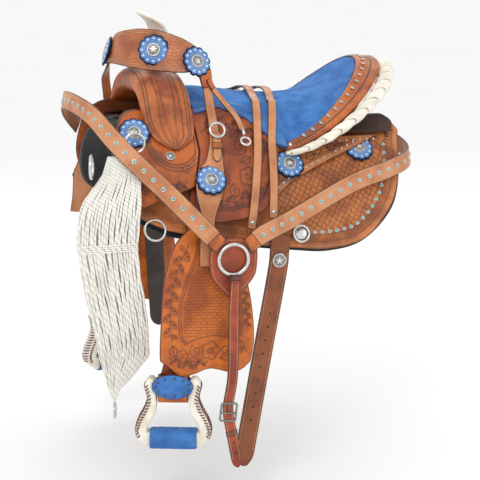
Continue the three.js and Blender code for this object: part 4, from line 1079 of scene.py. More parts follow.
def build_tread(side):
    """Suede wrapped round the stirrup's tread, sewn down near one end."""
    tag = side_name(side)
    s = Solid()
    rings, edges = [], []
    b = round_turn(64)
    power = 0.72
    shape_y = 22.0 * np.sign(np.cos(b)) * np.abs(np.cos(b)) ** power
    shape_z = 18.5 * np.sign(np.sin(b)) * np.abs(np.sin(b)) ** power
    for x in np.linspace(-43, 43, 60):
        end = 43 - abs(x)
        shrink = 1 - 0.06 * math.exp(-end / 2.0) - 0.035 * math.exp(-((x + 33) / 1.6) ** 2)
        shrink += 0.006 * math.sin(x * 0.5) + 0.004 * math.sin(x * 1.3 + 1)
        wave = 1 + 0.008 * np.sin(3 * b + x * 0.09)
        ring = np.stack([np.full(64, x), shape_y * shrink * wave, shape_z * shrink * wave - 97], axis=1)
        rings.append(in_stirrup(ring, side))
        edges.append(np.full(64, end + 0.8))
    s.loft(rings, edge=np.concatenate(edges))
    s.make(f"tread_wrap_{tag}_suede", SUEDE, f"{tag}_stirrup", "blue_suede", f"tread_wrap_{tag}")


# ---------------------------------------------------------------- seat
CREST = [[-193, 117], [-120, 108], [-60, 101], [0, 97], [60, 99], [100, 108], [135, 126], [160, 147],
         [175, 163]]
FLANK_Y = [[-193, 97], [-138, 106], [-93, 121], [-69, 140], [-46, 158], [-31, 165]]
FLANK_Z = [[-193, 74], [-138, 84], [-93, 64], [-69, 43], [-46, 18], [-31, 12]]
PAD_THICKNESS, PAD_EDGE, MOST_PUFF = 15.0, 4.0, 5.0


def knots_at(knots, x):
    k = np.array(knots)
    return float(np.interp(x, k[:, 0], k[:, 1]))


def rim_point(angle, out=0.0, drop=0.0):
    """A point of the cantle's rim. Negative angles are on the far side."""
    a = abs(angle)
    y = (SEAT_HALF_WIDTH + out) * math.sin(a)
    z = RIM_LOW_Z + (RIM_HIGH_Z - RIM_LOW_Z) * max(math.cos(a), 0) ** RIM_POWER - drop
    return np.array([SEAT_CENTRE_X + (SEAT_DEPTH + out) * math.cos(a), y if angle < 0 else -y, z])


def seat_edge(x):
    if x <= SEAT_CENTRE_X:
        return knots_at(FLANK_Y, x), knots_at(FLANK_Z, x)
    rim = rim_point(math.acos(min((x - SEAT_CENTRE_X) / SEAT_DEPTH, 1)))
    return -rim[1], rim[2]


def layer_z(grow, y):
    share = min(abs(y) / (BARREL_HALF_WIDTH + grow), 1)
    return BARREL_CENTRE_Z + (BARREL_HEIGHT + 1.5 * grow) * math.sqrt(1 - share * share)


def seat_floor(x, y):
    reach = abs(y)
    bars = min(layer_z(12, y), 56) if reach > 68 else 52
    jockeys = min(layer_z(JOCKEY, y), 80) if reach > 78 else bars
    share = min(max((x + 31) / 16, 0), 1)
    return jockeys + (bars - jockeys) * share


def pad_heights(x, y):
    """Top and bottom of the seat pad at a point."""
    edge_y, edge_z = seat_edge(x)
    crest = knots_at(CREST, x)
    share = min(abs(y) / max(edge_y, 1), 1)
    top = crest + (edge_z - crest) * share ** 2.2
    thickness = PAD_THICKNESS + (PAD_EDGE - PAD_THICKNESS) * share ** 3
    bottom = max(top - thickness, seat_floor(x, y) + 3.6)
    return max(top, bottom + 3), bottom


def build_seat():
    """Suede seat, blown up a little by a cloth simulation so that it crowns and puckers."""
    s = Solid()
    rings, edges = [], []
    columns = 36
    rear = 120 + 53.5 * np.sin(np.linspace(0.1, 1, 14) * math.pi / 2)
    stations = np.concatenate([np.linspace(-193, 120, 56), rear])
    for x in stations:
        half = seat_edge(x)[0] - 1.4
        row = half * np.sin(np.linspace(-1, 1, columns + 1) * math.pi / 2)
        heights = [pad_heights(x, y) for y in row]
        folds = []
        for y, (top, _) in zip(row, heights):
            share = abs(y) / half
            soft = math.sin(0.07 * x + 0.05 * abs(y)) * math.sin(0.045 * abs(y) - 0.02 * x)
            folds.append(top - 1.0 + 0.9 * soft * share * (1 - share) * 4 * (x > -40))
        upper = [(x, y, z) for y, z in zip(row, folds)]
        lower = [(x, y, b + 0.6) for y, (_, b) in zip(row, heights)][::-1]
        rings.append(upper + lower)
        edges.append([half - abs(p[1]) + 0.9 for p in upper + lower])
    s.loft(rings, edge=np.concatenate(edges))
    pad = s.make("seat_suede", SUEDE, "saddle", "blue_suede", "seat_pad")
    inflate(pad)
    refresh_edge(pad)
    finer = pad.modifiers.new("finer", "SUBSURF")
    finer.levels = finer.render_levels = 1
    trim = Solid()
    for side in (-1, 1):
        flank = [(x, side * (knots_at(FLANK_Y, x) - 5)) for x in np.linspace(-188, -40, 44)]
        row = np.array([(x, y, pad_heights(x, y)[0] + 1.0) for x, y in flank])
        for here, there in zip(row, row[1:]):
            trim.stitch(here, there - here, [0, side * 0.55, 0.8], 2.6, 0.9)
    trim.make("seat_stitches", [THREAD], "saddle", "blue_suede")


def build_seat_apron(side):
    """The suede's lower margin, pinked, lying from the pad's rim onto the seat jockey."""
    s = Solid()
    rows, count = [], 150
    for x in np.linspace(-188, -24, count):
        half, low = seat_edge(x)
        start_y, start_z = half - 6, pad_heights(x, half - 6)[0] - 1.2
        pinked = 2.0 * abs(math.sin(x * 0.48))
        end_z = low - 5 + pinked
        end_y = max(min(float(layer_y(JOCKEY + 0.9, end_z)), 190), start_y + 1)
        t = np.linspace(0, 1, 9)
        ys = start_y + (end_y - start_y) * t
        zs = start_z + (end_z - start_z) * t ** 1.3
        over = 1.2 * np.sin(math.pi * t)
        outer = [(x, side * (y + o * 0.5), z + o) for y, z, o in zip(ys, zs, over)]
        inner = [(x, side * (y - 0.9), z - 0.9) for y, z in zip(ys[::-1], zs[::-1])]
        rows.append(outer + inner)
    s.loft(rows, edge=np.tile([9, 8, 7, 6, 5, 4, 3, 1.6, 0.6] + [0.6] * 9, count))
    for k in (7, 6):
        for i in range(2, count - 2, 3):
            a, b = np.array(rows[i]), np.array(rows[i + 1])
            s.stitch(a[k] + [0, side * 0.6, 0.6], b[k] - a[k], [0, side * 0.7, 0.7], 1.9, 0.8, 1)
    s.make(f"seat_apron_{side_name(side)}_suede", [SUEDE, THREAD], "saddle", "blue_suede")


def inflate(pad):
    """Blows the seat's cover up against its filling. The rim stays where it is sewn down."""
    start = np.array([v.co for v in pad.data.vertices])
    group = pad.vertex_groups.new(name="sewn")
    for i, (x, y, _) in enumerate(start / MM):
        reach = min(seat_edge(x)[0] - abs(y), x + 193, 170 - x)
        group.add([i], float(np.clip(1 - reach / 9, 0, 1)), "REPLACE")
    cloth = pad.modifiers.new("cloth", "CLOTH")
    cloth.settings.vertex_group_mass = "sewn"
    cloth.settings.use_pressure = True
    cloth.settings.uniform_pressure_force = 4.0
    cloth.settings.quality = 5
    cloth.settings.effector_weights.gravity = 0.0
    cloth.point_cache.frame_start, cloth.point_cache.frame_end = 1, 20
    for number in range(1, 21):
        bpy.context.scene.frame_set(number)
    apply_modifiers(pad)
    move = np.array([v.co for v in pad.data.vertices]) - start
    size = np.maximum(np.linalg.norm(move, axis=1, keepdims=True), 1e-9)
    move *= np.minimum(1, MOST_PUFF * MM / size)
    move[:, 2] = np.maximum(move[:, 2], -1.5 * MM)
    pad.data.vertices.foreach_set("co", (start + move).ravel())
    bpy.context.scene.frame_set(1)


def apply_modifiers(piece):
    graph = bpy.context.evaluated_depsgraph_get()
    mesh = bpy.data.meshes.new_from_object(piece.evaluated_get(graph))
    piece.modifiers.clear()
    piece.data = mesh
    mesh.polygons.foreach_set("use_smooth", [True] * len(mesh.polygons))


def refresh_edge(pad):
    """Writes the distance to the pad's rim again after the mesh was rebuilt."""
    values = []
    for v in pad.data.vertices:
        x, y, _ = v.co / MM
        values.append(max(seat_edge(x)[0] - abs(y), 0.2) if x > -190 else 0.5)
    for name, numbers in (("edge", values), ("carve", [FAR] * len(values))):
        old = pad.data.attributes.get(name)
        if old:
            pad.data.attributes.remove(old)
        layer = pad.data.attributes.new(name, "FLOAT", "POINT")
        layer.data.foreach_set("value", np.array(numbers, np.float32))


# ---------------------------------------------------------------- cantle
CANTLE_END = math.radians(89)


def roll_width(angle):
    return 8 + 42 * max(math.cos(angle), 0) ** 0.6


def roll_drop(angle):
    return 3 + 7 * math.sin(abs(angle))


def build_cantle():
    """The roll: a flat inner band with spots, a step, and a round outer bead."""
    s = Solid()
    angles = np.linspace(-CANTLE_END, CANTLE_END, 150)
    profile = [(0.0, 0.35), (0.0, -0.6), (0.06, -1.7), (0.2, -2.2), (0.4, -2.4), (0.58, -2.2),
               (0.64, -1.2), (0.68, -1.2), (0.73, -2.6), (0.82, -3.0), (0.92, -2.2), (0.99, -0.2),
               (1.0, 2.4), (0.94, 6.0), (0.7, 8.0), (0.4, 7.5), (0.0, 4.5)]
    rings, edges, alongs, carves = [], [], [], []
    length = 0.0
    before = None
    for a in angles:
        w, d = roll_width(a), roll_drop(a)
        deep = 0.25 * w / 8
        ring = []
        for share, level in profile:
            drop = d * share ** 1.6 + level * (deep if level > 0 else 0.8)
            ring.append(rim_point(a, 0.5 + (w - 0.5) * share, drop))
        middle = rim_point(a, w * 0.5, d * 0.3)
        length += 0 if before is None else float(np.linalg.norm(middle - before))
        before = middle
        rings.append(ring)
        edges.append([0.5, 0.6, 2, 4, 8, 6, 3, 3, 6, 8, 6, 3, 2.2, 4, 5, 5, 3])
        carves.append([FAR] * 5 + [2.5, 0.4, 0.4, 2.5] + [FAR] * 8)
        alongs.append([length] * len(profile))
    s.loft(rings, edge=np.concatenate(edges), along=np.concatenate(alongs), carve=np.concatenate(carves))
    path = {share: np.array([rim_point(a, 0.5 + (roll_width(a) - 0.5) * share,
                                       roll_drop(a) * share ** 1.6 - lift) for a in angles])
            for share, lift in ((0.12, 1.9), (0.56, 2.1), (0.88, 2.4), (0.34, 2.2))}
    up = np.array([0.25, 0, 1.0])
    for share in (0.12, 0.56, 0.88):
        line = resample(path[share], 5.0)
        for i in range(6, len(line) - 7):
            s.stitch(line[i], line[i + 1] - line[i], up, 3.2, 1.0, 1)
    row = resample(path[0.34], 22.0)
    for p in row[2:-2]:
        spot(s, p, up + [0, 0.5 * np.sign(p[1]) * abs(p[1]) / 165, 0], 2, 3, 4.8)
    s.make("cantle_roll_leather", [LEATHER, THREAD, NICKEL, TURQUOISE], "saddle", "saddle_leather",
           "cantle_roll")


def build_lacing():
    """Rawhide lace wound round the cantle's edge in fat turns."""
    s = Solid()
    turns = 24
    rings, carves = [], []
    for a in np.linspace(-CANTLE_END, CANTLE_END, 420):
        c = max(math.cos(a), 0)
        radius = 3 + 14 * c ** 0.5
        out, drop = roll_width(a) + radius * 0.8, roll_drop(a) + radius * 0.95
        ring = []
        for b in round_turn(28):
            phase = (a + CANTLE_END) / (2 * CANTLE_END) * turns + 0.3 * math.cos(b) * (1 if a > 0 else -1)
            bulge = abs(math.sin(math.pi * phase))
            r = radius * (0.6 + 0.42 * bulge ** 0.5)
            ring.append(rim_point(a, out + r * math.cos(b), drop + 0.8 * r * math.sin(b)))
            # carve here measures nearness to the seam between turns; the rawhide material darkens the seams
            # as painted shade.
            carves.append(bulge * 6.0)
        rings.append(ring)
    s.loft(rings, carve=np.array(carves))
    for sign in (-1, 1):
        tip = rim_point(sign * math.radians(86), 9, 4)
        stud(s, tip, [0, -sign, 0.5], 5, 1)
    s.make("cantle_lacing_rawhide", [RAWHIDE, NICKEL], "saddle", "rawhide", "cantle_lacing")


# ---------------------------------------------------------------- fork and horn
FORK_STATIONS = [
    [-246, -236, 187, 15, 182, 12], [-266, -216, 180, 27, 174, 23], [-279, -203, 171, 38, 164, 33],
    [-289, -198, 154, 58, 146, 52], [-292, -197, 140, 86, 115, 78], [-292, -197, 121, 115, 88, 94],
    [-291, -198, 92, 137, 62, 100], [-290, -198, 50, 149, 34, 103], [-290, -198, 0, 152, 0, 104]]


def build_fork():
    """Fork cover: leather drawn down both swells, carved in long flowing lines."""
    s = Solid()
    per_span = 14
    half = spline(FORK_STATIONS, per_span)
    both = np.vstack([half, (half * [1, 1, -1, 1, -1, 1])[-2::-1]])
    count = 200
    rings, edges, carves, alongs = [], [], [], []
    for n, (x_low, x_high, out_y, out_z, in_y, in_z) in enumerate(both):
        centre = np.array([(x_low + x_high) / 2, -(out_y + in_y) / 2, (out_z + in_z) / 2])
        across = np.array([0, -(out_y - in_y) / 2, (out_z - in_z) / 2])
        along = min(n, len(both) - 1 - n) / per_span
        for i in range(count):
            turn = (i + 0.5) / count * 2 * math.pi
            c, d = math.cos(turn), math.sin(turn)
            forward, out = math.copysign(abs(c) ** 0.55, c), math.copysign(abs(d) ** 0.7, d)
            x = centre[0] + forward * (x_high - x_low) / 2
            groove = FAR
            if d > 0.15:
                share = (x - x_low) / max(x_high - x_low, 1)
                for j, place in enumerate((0.07, 0.13, 0.3, 0.41, 0.52, 0.63, 0.74, 0.87, 0.93)):
                    bend = 0.022 * math.sin(1.1 * along + j * 1.7) if 1 < j < 7 else 0.0
                    if j in (0, 1, 7, 8) or along < 6.5:
                        groove = min(groove, abs(share - place - bend) * (x_high - x_low))
            point = centre + across * out + [forward * (x_high - x_low) / 2, 0, 0]
            inward = unit(centre - point) if np.linalg.norm(centre - point) > 1e-6 else np.zeros(3)
            rings.append(point + inward * 1.1 * max(1 - groove / 2.2, 0))
            carves.append(groove)
            edges.append(8 * min(along, 1) + 0.9 if d > -0.2 else 6)
            alongs.append(along * 25)
    shape = np.array(rings).reshape(len(both), count, 3)
    s.loft(shape, carve=np.array(carves), edge=np.array(edges), along=np.array(alongs), tooled=0.25)
    s.make("fork_cover", [FORK_LOOK], "saddle", "saddle_leather", "fork")


def build_horn():
    """Rawhide horn: a neck that flares into a flat cap, thinnest at its front tip."""
    s = Solid()
    tilt = math.radians(27)
    spine = [[-229, 152.3, 27, 0], [-229, 160, 22.5, 0], [-228.5, 175, 19.5, 0.03],
             [-227, 195, 18.5, 0.12], [-225.5, 213, 18.8, 0.26], [-228, 226, 22.5, 0.4],
             [-234, 234.5, 27.8, tilt], [-238.4, 239.3, 31.2, tilt], [-239.6, 242.3, 31.6, tilt],
             [-239, 245.2, 29.6, tilt], [-238.1, 246.8, 22, tilt], [-238, 247.2, 9, tilt],
             [-238, 247.25, 1, tilt]]
    rings = []
    for x, z, radius, lean in spline(spine, 5):
        ring = []
        for b in round_turn(64):
            pucker = 0.012 * math.sin(9 * b + z * 0.13) * (170 < z < 236)
            r = radius * (1 + pucker + 0.008 * math.sin(z * 0.9 + 2 * b))
            ahead = r * math.cos(b)
            ring.append([x + ahead * math.cos(lean), r * math.sin(b), z - ahead * math.sin(lean)])
        rings.append(ring)
    s.loft(rings)
    s.make("horn_rawhide", [RAWHIDE], "saddle", "rawhide", "horn_neck", "horn_cap")


# ---------------------------------------------------------------- billets, rings and cinch
def mirrored(points, side):
    """Near-side strap points, turned to the chosen side."""
    return [[p[0], -side * p[1], p[2], p[3], -side * p[4], *p[5:]] for p in points]


def on_layer(x, z, width, grow=STRAP_GROW):
    return [x, -float(layer_y(grow, z)), z, *outward(z), width]


def holes(solid, points, lengths, lift, look):
    """Punched holes, each drawn as a thin dark disc: painted shade where the opening would be."""
    radius = 2.2
    for centre, _, normal, _ in at_lengths(points, lengths):
        profile = [(radius, -0.2), (radius, 0.12), (radius * 0.2, 0.16)]
        solid.lathe(profile, centre + normal * lift, normal, 12, look)


def ring_piece(node, suffix, centre, axis, radius, wire, look=NICKEL, steps=52, sides=14):
    s = Solid()
    s.torus(np.array(centre, float), axis, radius, wire, steps, sides)
    s.make(f"{node}_{suffix}", look, "saddle", "nickel", node)


def tack_strap(node, points, thickness, distance, lift, skip=6.0):
    s = Solid()
    strap(s, points, thickness)
    strap_stitches(s, points, distance, lift, skip=skip)
    s.make(f"{node}_leather", [TAN, THREAD], "saddle", "tack_leather", node)


def build_rear_billet(side):
    tag = side_name(side)
    s = Solid()
    points = [on_layer(-56, -145, 38, 9),
              [-62, -float(layer_y(9, -178)), -178, 0, -1, 0.1, 38], [-69, -253, -215, 0, -1, 0, 38],
              [-100, -254, -380, 0, -1, 0, 38], [-133, -254, -562, 0, -1, 0, 38],
              [-138, -254, -584, 0, -1, 0, 36]]
    points = mirrored(points, side)
    strap(s, points, 4.0, point=30)
    strap_stitches(s, points, 4.2, 2.0, skip=34)
    holes(s, points, [150 + 26 * i for i in range(9)], 2.0, 2)
    face = np.array([0, side, 0.0])
    at = np.array([-65.5, side * 256.2, -190.0])
    concho(s, at, face, (0, 0, 1), 13.5, 3, 4)
    s.make(f"rear_billet_{tag}_strap", [BILLET, THREAD, BLACK_LEATHER_AND_HOLE_SHADE, NICKEL, ANTIQUE_AND_SHADED_SILVER], f"{tag}_billet",
           "tack_leather", f"rear_billet_{tag}")


def build_off_billet():
    s = Solid()
    points = [[-182, 237.5, -174, 0, 1, 0, 40], [-178, 237.5, -270, 0, 1, 0, 40],
              [-170, 237.5, -436, 0, 1, 0, 38]]
    strap(s, points, 3.4, point=26)
    strap_stitches(s, points, 4.0, 1.7, skip=28)
    holes(s, points, [90 + 24 * i for i in range(6)], 1.7, 2)
    s.make("off_billet_strap", [DARK, THREAD, BLACK_LEATHER_AND_HOLE_SHADE], "off_billet", "dark_leather", "off_billet")


def build_dees():
    for side in (NEAR_SIDE, FAR_SIDE):
        tag = side_name(side)
        for name, x, z, grow, radius, wire, node in (
                ("rear_dee", -16, -146, 10.5, 15, 2.4, f"rear_dee_{tag}"),
                ("front_dee", -294, -124, 8.2, 19, 2.2, f"front_dee_{tag}")):
            s = Solid()
            centre = np.array([x, side * float(layer_y(grow, z)), z])
            face = facing(z, side)
            s.torus(centre, face, radius, wire, steps=56, sides=14)
            if name == "rear_dee":
                s.lathe([(11.5, -3.0), (11.5, -0.6), (10.0, 0.3), (2.0, 1.4)], centre, face, 28)
            s.make(f"{name}_{tag}_wire", NICKEL, "saddle", "nickel", node)


def build_cinch_rings():
    axis = [math.sin(1.25), -math.cos(1.25), 0]
    ring_piece("cinch_ring_front", "wire", [-405, -216, -6], axis, 20, 2.8, steps=60)
    ring_piece("cinch_ring_rear", "wire", [-322, -198.5, 31], [0, -1, 0], 18, 2.4, steps=60)
    ring_piece("cinch_dee", "wire", [-369, -201, -467], axis, 13, 2.4)


CINCH_LEVELS = [
    [8, -374, -308, -204, -192], [-22, -388, -312, -221, -207], [-65, -428, -319, -249, -231],
    [-86, -437, -322, -255, -237], [-115, -441, -325, -250, -231], [-150, -442, -327, -245, -225],
    [-224, -429, -318, -240, -218], [-324, -407, -303, -228, -206], [-362, -398, -302, -219, -200],
    [-398, -390, -331, -214, -196], [-425, -383, -356, -210, -194], [-450, -374, -366, -206, -197]]


def build_cinch():
    """Folded string cinch: two layers of loose cotton cords, tied across by woven bands."""
    s = Solid()
    rising = np.array(CINCH_LEVELS)[::-1]
    levels = np.array([[np.interp(z, rising[:, 0], rising[:, i]) for i in range(5)]
                       for z in np.linspace(8, -450, 92)])
    cords = 22
    rng = np.random.default_rng(7)
    for layer in (0, 1):
        for c in range(cords):
            wobble = rng.uniform(0, 6.28, 3)
            path = []
            for z, front, rear, out_y, in_y in levels:
                share = (c + 0.5) / cords
                span = rear - front
                sway = 1.1 * math.sin(z * 0.045 + wobble[0]) + 0.6 * math.sin(z * 0.11 + wobble[1])
                sway *= min(abs(z - 8), abs(z + 450), 60) / 60
                x = front + 3 + (span - 6) * share + sway * (0.6 + 0.4 * (span > 30))
                depth = out_y + 2.9 if layer == 0 else in_y - 2.9
                depth += (0.5 * math.sin(z * 0.07 + wobble[2])) * (1 if layer else -1) * 0.6
                path.append((x, depth, z))
            path = np.array(path)
            radius = np.array([min(2.3, max(1.0, (lv[2] - lv[1]) / cords * 0.54)) for lv in levels])
            s.tube(path, radius)
    for centre_z, layer in ((-150, 0), (-190, 1)):
        for n, dz in enumerate((-6, -2, 2, 6)):
            z = centre_z + dz
            front, rear, out_y, in_y = [np.interp(z, levels[::-1, 0], levels[::-1, i]) for i in range(1, 5)]
            y = out_y + 1.3 if layer == 0 else in_y - 1.3
            path = []
            for t in np.linspace(0, 1, 70):
                weave = 0.65 * math.cos(t * cords * math.pi + n * math.pi) * (1 if layer else -1)
                path.append((front + 3 + (rear - front - 6) * t, y + weave, z))
            s.tube(path, 1.6)
    s.make("cinch_cords", COTTON, "saddle", "cinch_cord", "cinch_strings")


# ---------------------------------------------------------------- breast collar
COLLAR_FRONT = [
    [-352, 172, 22, -.5, .85, 0, 34], [-392, 95, 66, -.85, .5, .1, 34], [-408, 0, 92, -1, 0, .2, 34],
    [-386, -122, 77, -.7, -.7, .2, 34], [-350, -204, 25, -.4, -.87, .3, 34],
    [-274, -262, -57, -.3, -.9, .2, 34],
    [-214, -292, -122, -.2, -1, .1, 34], [-191, -296, -146.6, 0, -1, 0, 30]]
COLLAR_REAR = [
    [-140, -296, -149.6, 0, -1, 0, 30], [-110, -291, -131, .1, -1, .1, 34], [-46, -266, -111, .2, -1, .1, 34],
    [87, -228, -59, .3, -.95, .2, 34], [168, -206, -40, .4, -.9, .2, 34], [224, -176, -26, .6, -.75, .1, 34],
    [250, -118, -16, .9, -.4, .1, 34], [262, 0, -8, 1, 0, 0, 34], [250, 118, -16, .9, .4, .1, 34],
    [226, 176, -26, .6, .75, .1, 34]]


def build_collar():
    for name, points in (("collar_front_strap", COLLAR_FRONT), ("collar_rear_strap", COLLAR_REAR)):
        s = Solid()
        strap(s, points, 4.0)
        strap_stitches(s, points, 3.6, 2.0)
        total = strap_length(points)
        front = name == "collar_front_strap"
        stop = total - (34 if front else 20)
        for centre, _, normal, _ in at_lengths(points, np.arange(34, stop, 24)):
            spot(s, centre + normal * 2.0, normal, 2, 3, 4.5)
        centre, run, normal, _ = at_lengths(points, [total - 11 if front else 11])[0]
        keeper = [[*(centre + run * d + normal * 0.9), *normal, 31] for d in (-9, 0, 9)]
        strap(s, keeper, 3.6, look=4, step=3)
        s.make(f"{name}_leather", [TAN, THREAD, NICKEL, TURQUOISE, LEATHER], "saddle", "tack_leather", name)
    ring_piece("collar_ring", "wire", RING_CENTRE, [0, -1, 0], 27.5, 3.4, steps=72, sides=16)
    s = Solid()
    rx = RING_CENTRE[0]
    loop = outline([[rx + 2, -256], [rx - 18, -232], [rx - 39, -205], [rx - 44, -172]],
                   [[rx - 44, -172], [rx - 40, -150], [rx - 22, -137], [rx + 2, -134]],
                   [[rx + 2, -134], [rx + 26, -137], [rx + 45, -150], [rx + 48, -172]],
                   [[rx + 48, -172], [rx + 43, -205], [rx + 22, -232], [rx + 2, -256]])

    def place(x, z, lift=0.0):
        return np.stack([x, -289.4 - lift + 0 * x, z], axis=1)

    leather_sheet(s, loop, place, 3.4, 5.0, rim=1.2)
    line, run = row_along(loop, 4.6, 4.6)
    for (x, z), d in zip(line, run):
        s.stitch([x, -289.5, z], [d[0], 0, d[1]], [0, -1, 0], 3.0, 1.0, 1)
    s.make("collar_safe_leather", [RED, THREAD], "saddle", "red_leather", "collar_safe")


def build_tie_down():
    s = Solid()
    points = [[-166, -302.5, -199.6, 0, -1, 0, 17], [-169, -302.5, -270, 0, -1, 0, 20],
              [-171, -302.5, -385, 0, -1, 0, 20], [-180, -302.5, -450, 0, -1, 0, 20],
              [-172, -302.5, -505, 0, -1, 0, 20], [-161, -302.5, -566, 0, -1, 0, 20]]
    strap(s, points, 3.4, point=18)
    strap_stitches(s, points, 3.2, 1.7, skip=16)
    total = strap_length(points)
    for centre, run, normal, width in at_lengths(points, [6, 300]):
        keeper = [[*(centre + run * d + normal * 0.8), *normal, width + 2] for d in (-5, 0, 5)]
        strap(s, keeper, 3.0, look=2, step=3)
    holes(s, points, [total - 30, total - 50, total - 70], 1.7, 3)
    s.make("tie_down_leather", [RED, THREAD, LACE, BLACK_LEATHER_AND_HOLE_SHADE], "tie_down", "red_leather", "tie_down_strap")
    s = Solid()
    c, sn = math.cos(0.12), math.sin(0.12)
    centre = np.array([-180.0, -304.8, -456.0])
    run, side_v, face = np.array([sn, 0, c]), np.array([c, 0, -sn]), np.array([0, -1.0, 0])
    path = []
    for a, b in ((-1, -1), (1, -1), (1, 1), (-1, 1)):
        here = np.array([a * 14.8, b * 16.5])
        for t in np.linspace(0, math.pi / 2, 6):
            ang = math.atan2(b, a) - math.pi / 4 + t
            path.append(here - [a * 3.2, b * 3.2] + 3.2 * np.array([math.cos(ang), math.sin(ang)]))
    frame_line = np.array([centre + side_v * u + run * v for u, v in path])
    s.tube(frame_line, 2.1, 12, closed=True)
    s.tube([centre - side_v * 14 - run * 2, centre + side_v * 14 - run * 2], 1.7, 12)
    s.tube([centre - run * 2, centre + face * 2.4 + run * 6, centre + face * 1.6 + run * 15], 1.2, 10)
    s.make("tie_down_buckle_metal", ANTIQUE_AND_SHADED_SILVER, "tie_down", "nickel", "tie_down_buckle")


# ---------------------------------------------------------------- headstall and reins
BROWBAND = [
    [-311, 52, 178, -.95, .1, .3, 50], [-306, 8, 188, -.85, -.4, .3, 62],
    [-284, -40, 190, -.65, -.7, .28, 75], [-252, -72, 187, -.35, -.9, .25, 79],
    [-212, -95, 178, 0, -.95, .3, 69], [-181, -106, 166, .25, -.9, .35, 52],
    [-164, -110, 145, .4, -.85, .35, 34]]
CROWN = [
    [-158, -88, 158, .9, -.3, .2, 20], [-164, -40, 170, 1, 0, .3, 20], [-180, 20, 174, .9, .4, .3, 20],
    [-225, 60, 172, .3, .9, .3, 20], [-282, 68, 172, -.2, .9, .3, 20], [-300, 66, 165, -.6, .7, .3, 20]]
CHEEK_NEAR = [
    [-161, -112, 122, .1, -.95, .3, 18], [-158, -126, 78, 0, -.95, .3, 18], [-160, -146, 56, 0, -.8, .5, 18],
    on_layer(-166, 22, 20), on_layer(-174, -12, 34), on_layer(-186, -38, 58), on_layer(-194, -70, 46),
    on_layer(-199, -100, 27), on_layer(-207, -142, 24), on_layer(-212, -188, 24)]


CHEEK_FAR = [
    [-308, 78, 152, -.8, .5, .2, 18], [-302, 130, 122, -.3, .9, .4, 18], [-294, 154, 86, 0, .9, .4, 18],
    [-288, 174, 54, 0, .9, .4, 18],
    *mirrored([on_layer(-287, 20, 20, 40), on_layer(-300, -14, 30, 38), on_layer(-314, -52, 46, 38),
               on_layer(-322, -92, 58, 38), on_layer(-330, -125, 42, 38), on_layer(-338, -150, 26, 38),
               on_layer(-342, -178, 24, 38)], FAR_SIDE)]


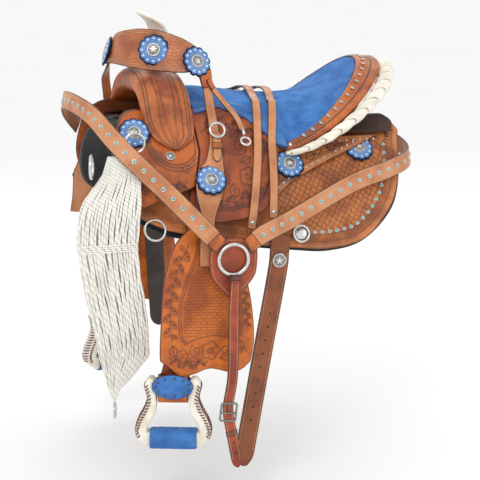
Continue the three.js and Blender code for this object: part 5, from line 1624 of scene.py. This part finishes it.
def build_headstall():
    s = Solid()
    strap(s, BROWBAND, 3.6, step=3.0, tooled=0.8)
    strap_stitches(s, BROWBAND, 4.2, 1.8, pitch=4.0)
    strap_stitches(s, BROWBAND, 8.0, 1.8, pitch=4.0)
    s.make("browband_leather", [BROW, THREAD], "saddle", "tack_leather", "browband")
    for i, k in enumerate((0, 3, 5)):
        p = np.array(BROWBAND[k], float)
        normal = unit(p[3:6])
        rosette(f"rosette_brow_{i + 1}", p[:3] + normal * 4.0, normal)
    tack_strap("headstall_crown", CROWN, 3.0, 3.4, 1.5)
    tack_strap("cheek_near", CHEEK_NEAR, 3.6, 3.2, 1.8, skip=10)
    tack_strap("cheek_far", CHEEK_FAR, 3.6, 3.2, 1.8, skip=10)
    side_rosette("rosette_cheek_near", -186, -40, 32, NEAR_SIDE)
    side_rosette("rosette_cheek_far", -322, -94, 39, FAR_SIDE)
    s = Solid()
    strap(s, [[-165, -110.5, 152, .4, -.88, .3, 30], [-163, -112.5, 136, .25, -.93, .3, 26],
              [-161, -113.5, 118, .1, -.96, .3, 19]], 4.2)
    strap(s, [[-158, -112, 134, .5, -.85, .2, 13], [-150, -116, 116, .3, -.9, .3, 12]], 3.0)
    s.make("browband_fold", [LEATHER], "saddle", "tack_leather")
    s = Solid()
    tip = [on_layer(-160.5, 40, 16, 35), on_layer(-164, 18, 16, 35), on_layer(-170, -8, 16, 35)]
    strap(s, tip, 3.0, point=12)
    strap_stitches(s, tip, 2.6, 1.5, skip=12)
    strap(s, [on_layer(-163.4, 24, 21, 37), on_layer(-164.8, 14, 21, 37)], 2.4, look=2, step=3)
    s.make("cheek_near_tip", [TAN, THREAD, LEATHER], "saddle", "tack_leather")
    s = Solid()
    hook = [[-108, -float(layer_y(35, z)) - 0.5, z] for z in (46, 42, 38, 34)]
    s.tube(hook, [2.0, 3.4, 3.6, 2.4], 12)
    s.make("snap_swivel", NICKEL, "saddle", "nickel")
    # The two cheek buckles are alike; the far one gets the darker antique silver as painted shade on the side
    # away from the lamps.
    for node, x, y, z, look in (("cheek_buckle_near", -160, -layer_y(41, 46), 46, NICKEL),
                                ("cheek_buckle_far", -288, layer_y(50, 40), 40, ANTIQUE_AND_SHADED_SILVER)):
        axis = [0, np.sign(y) * math.cos(0.5), math.sin(0.5)]
        ring_piece(node, "metal", [x, y, z], axis, 14, 2.4, look)
    points = [[-150, -116, 116, .3, -.9, .3, 12], [-132, -124, 92, .2, -.9, .4, 12],
              [-114, -143, 66, 0, -.75, .6, 12], on_layer(-108, 42, 12, 34)]
    tack_strap("throat_strap", points, 3.0, 2.4, 1.5)
    hook_at = [-108, -layer_y(34, 22) - 1, 24]
    ring_piece("snap_hook", "metal", hook_at, outward(24), 9, 2.6, steps=48, sides=12)


def rein_points(crest, knee, end, end_z):
    """A rein's centre line, over the seat and down both sides."""
    near = []
    for y in (0, 30, 60, 90, 112, 126, 140):
        x = crest + (knee - crest) * (y / 180) ** 1.5
        top, _ = pad_heights(x, y)
        ahead, _ = pad_heights(x, y + 2)
        slope = (ahead - top) / 2
        normal = unit([0, -slope, 1.0])
        near.append([x, -(y + normal[1] * 7), top + normal[2] * 7, 0, -normal[1], normal[2], 16])
    for z in (16, -20, -60, -100, end_z):
        x = knee + (end - knee) * (16 - z) / (16 - end_z)
        near.append(on_layer(x, z, 16))
    return mirrored(near[1:], FAR_SIDE)[::-1] + near


def build_reins():
    for name, *route in (("rein_front", -48, -84, -120, -128), ("rein_rear", -11, -56, -76, -112)):
        points = rein_points(*route)
        s = Solid()
        strap(s, points, 3.4)
        strap_stitches(s, points, 2.6, 1.7, pitch=5.2)
        centre, _, normal, _ = at_lengths(points, [strap_length(points) - 12])[0]
        stud(s, centre + normal * 1.7, normal, 4.4, 2)
        s.make(f"{name}_leather", [TAN, THREAD, NICKEL], "saddle", "tack_leather", name)


# ---------------------------------------------------------------- kept CAD pieces and the scene
def dress(names, material):
    """Gives a carried-over solid its material."""
    for name in names:
        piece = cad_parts[name]
        piece.data.materials.clear()
        piece.data.materials.append(material)


for side in (NEAR_SIDE, FAR_SIDE):
    for build in (build_lining, build_skirt, build_rear_jockey, build_seat_jockey, build_front_jockey,
                  build_fender, build_stirrup_leather, build_hobble_patch, build_stirrup, build_tread,
                  build_rear_billet):
        build(side)
for build in (build_off_billet, build_dees, build_cinch_rings, build_cinch, build_collar,
              build_tie_down, build_headstall, build_reins, build_seat):
    build()
build_seat_apron(NEAR_SIDE)
build_seat_apron(FAR_SIDE)
for build in (build_cantle, build_lacing, build_fork, build_horn):
    build()
dress(["tree_bar_near", "tree_bar_far", "tree_cantle", "ground_seat"], HIDE)
dress(["stirrup_bolt_near", "stirrup_bolt_far"], DARK_STEEL)
build_stage()
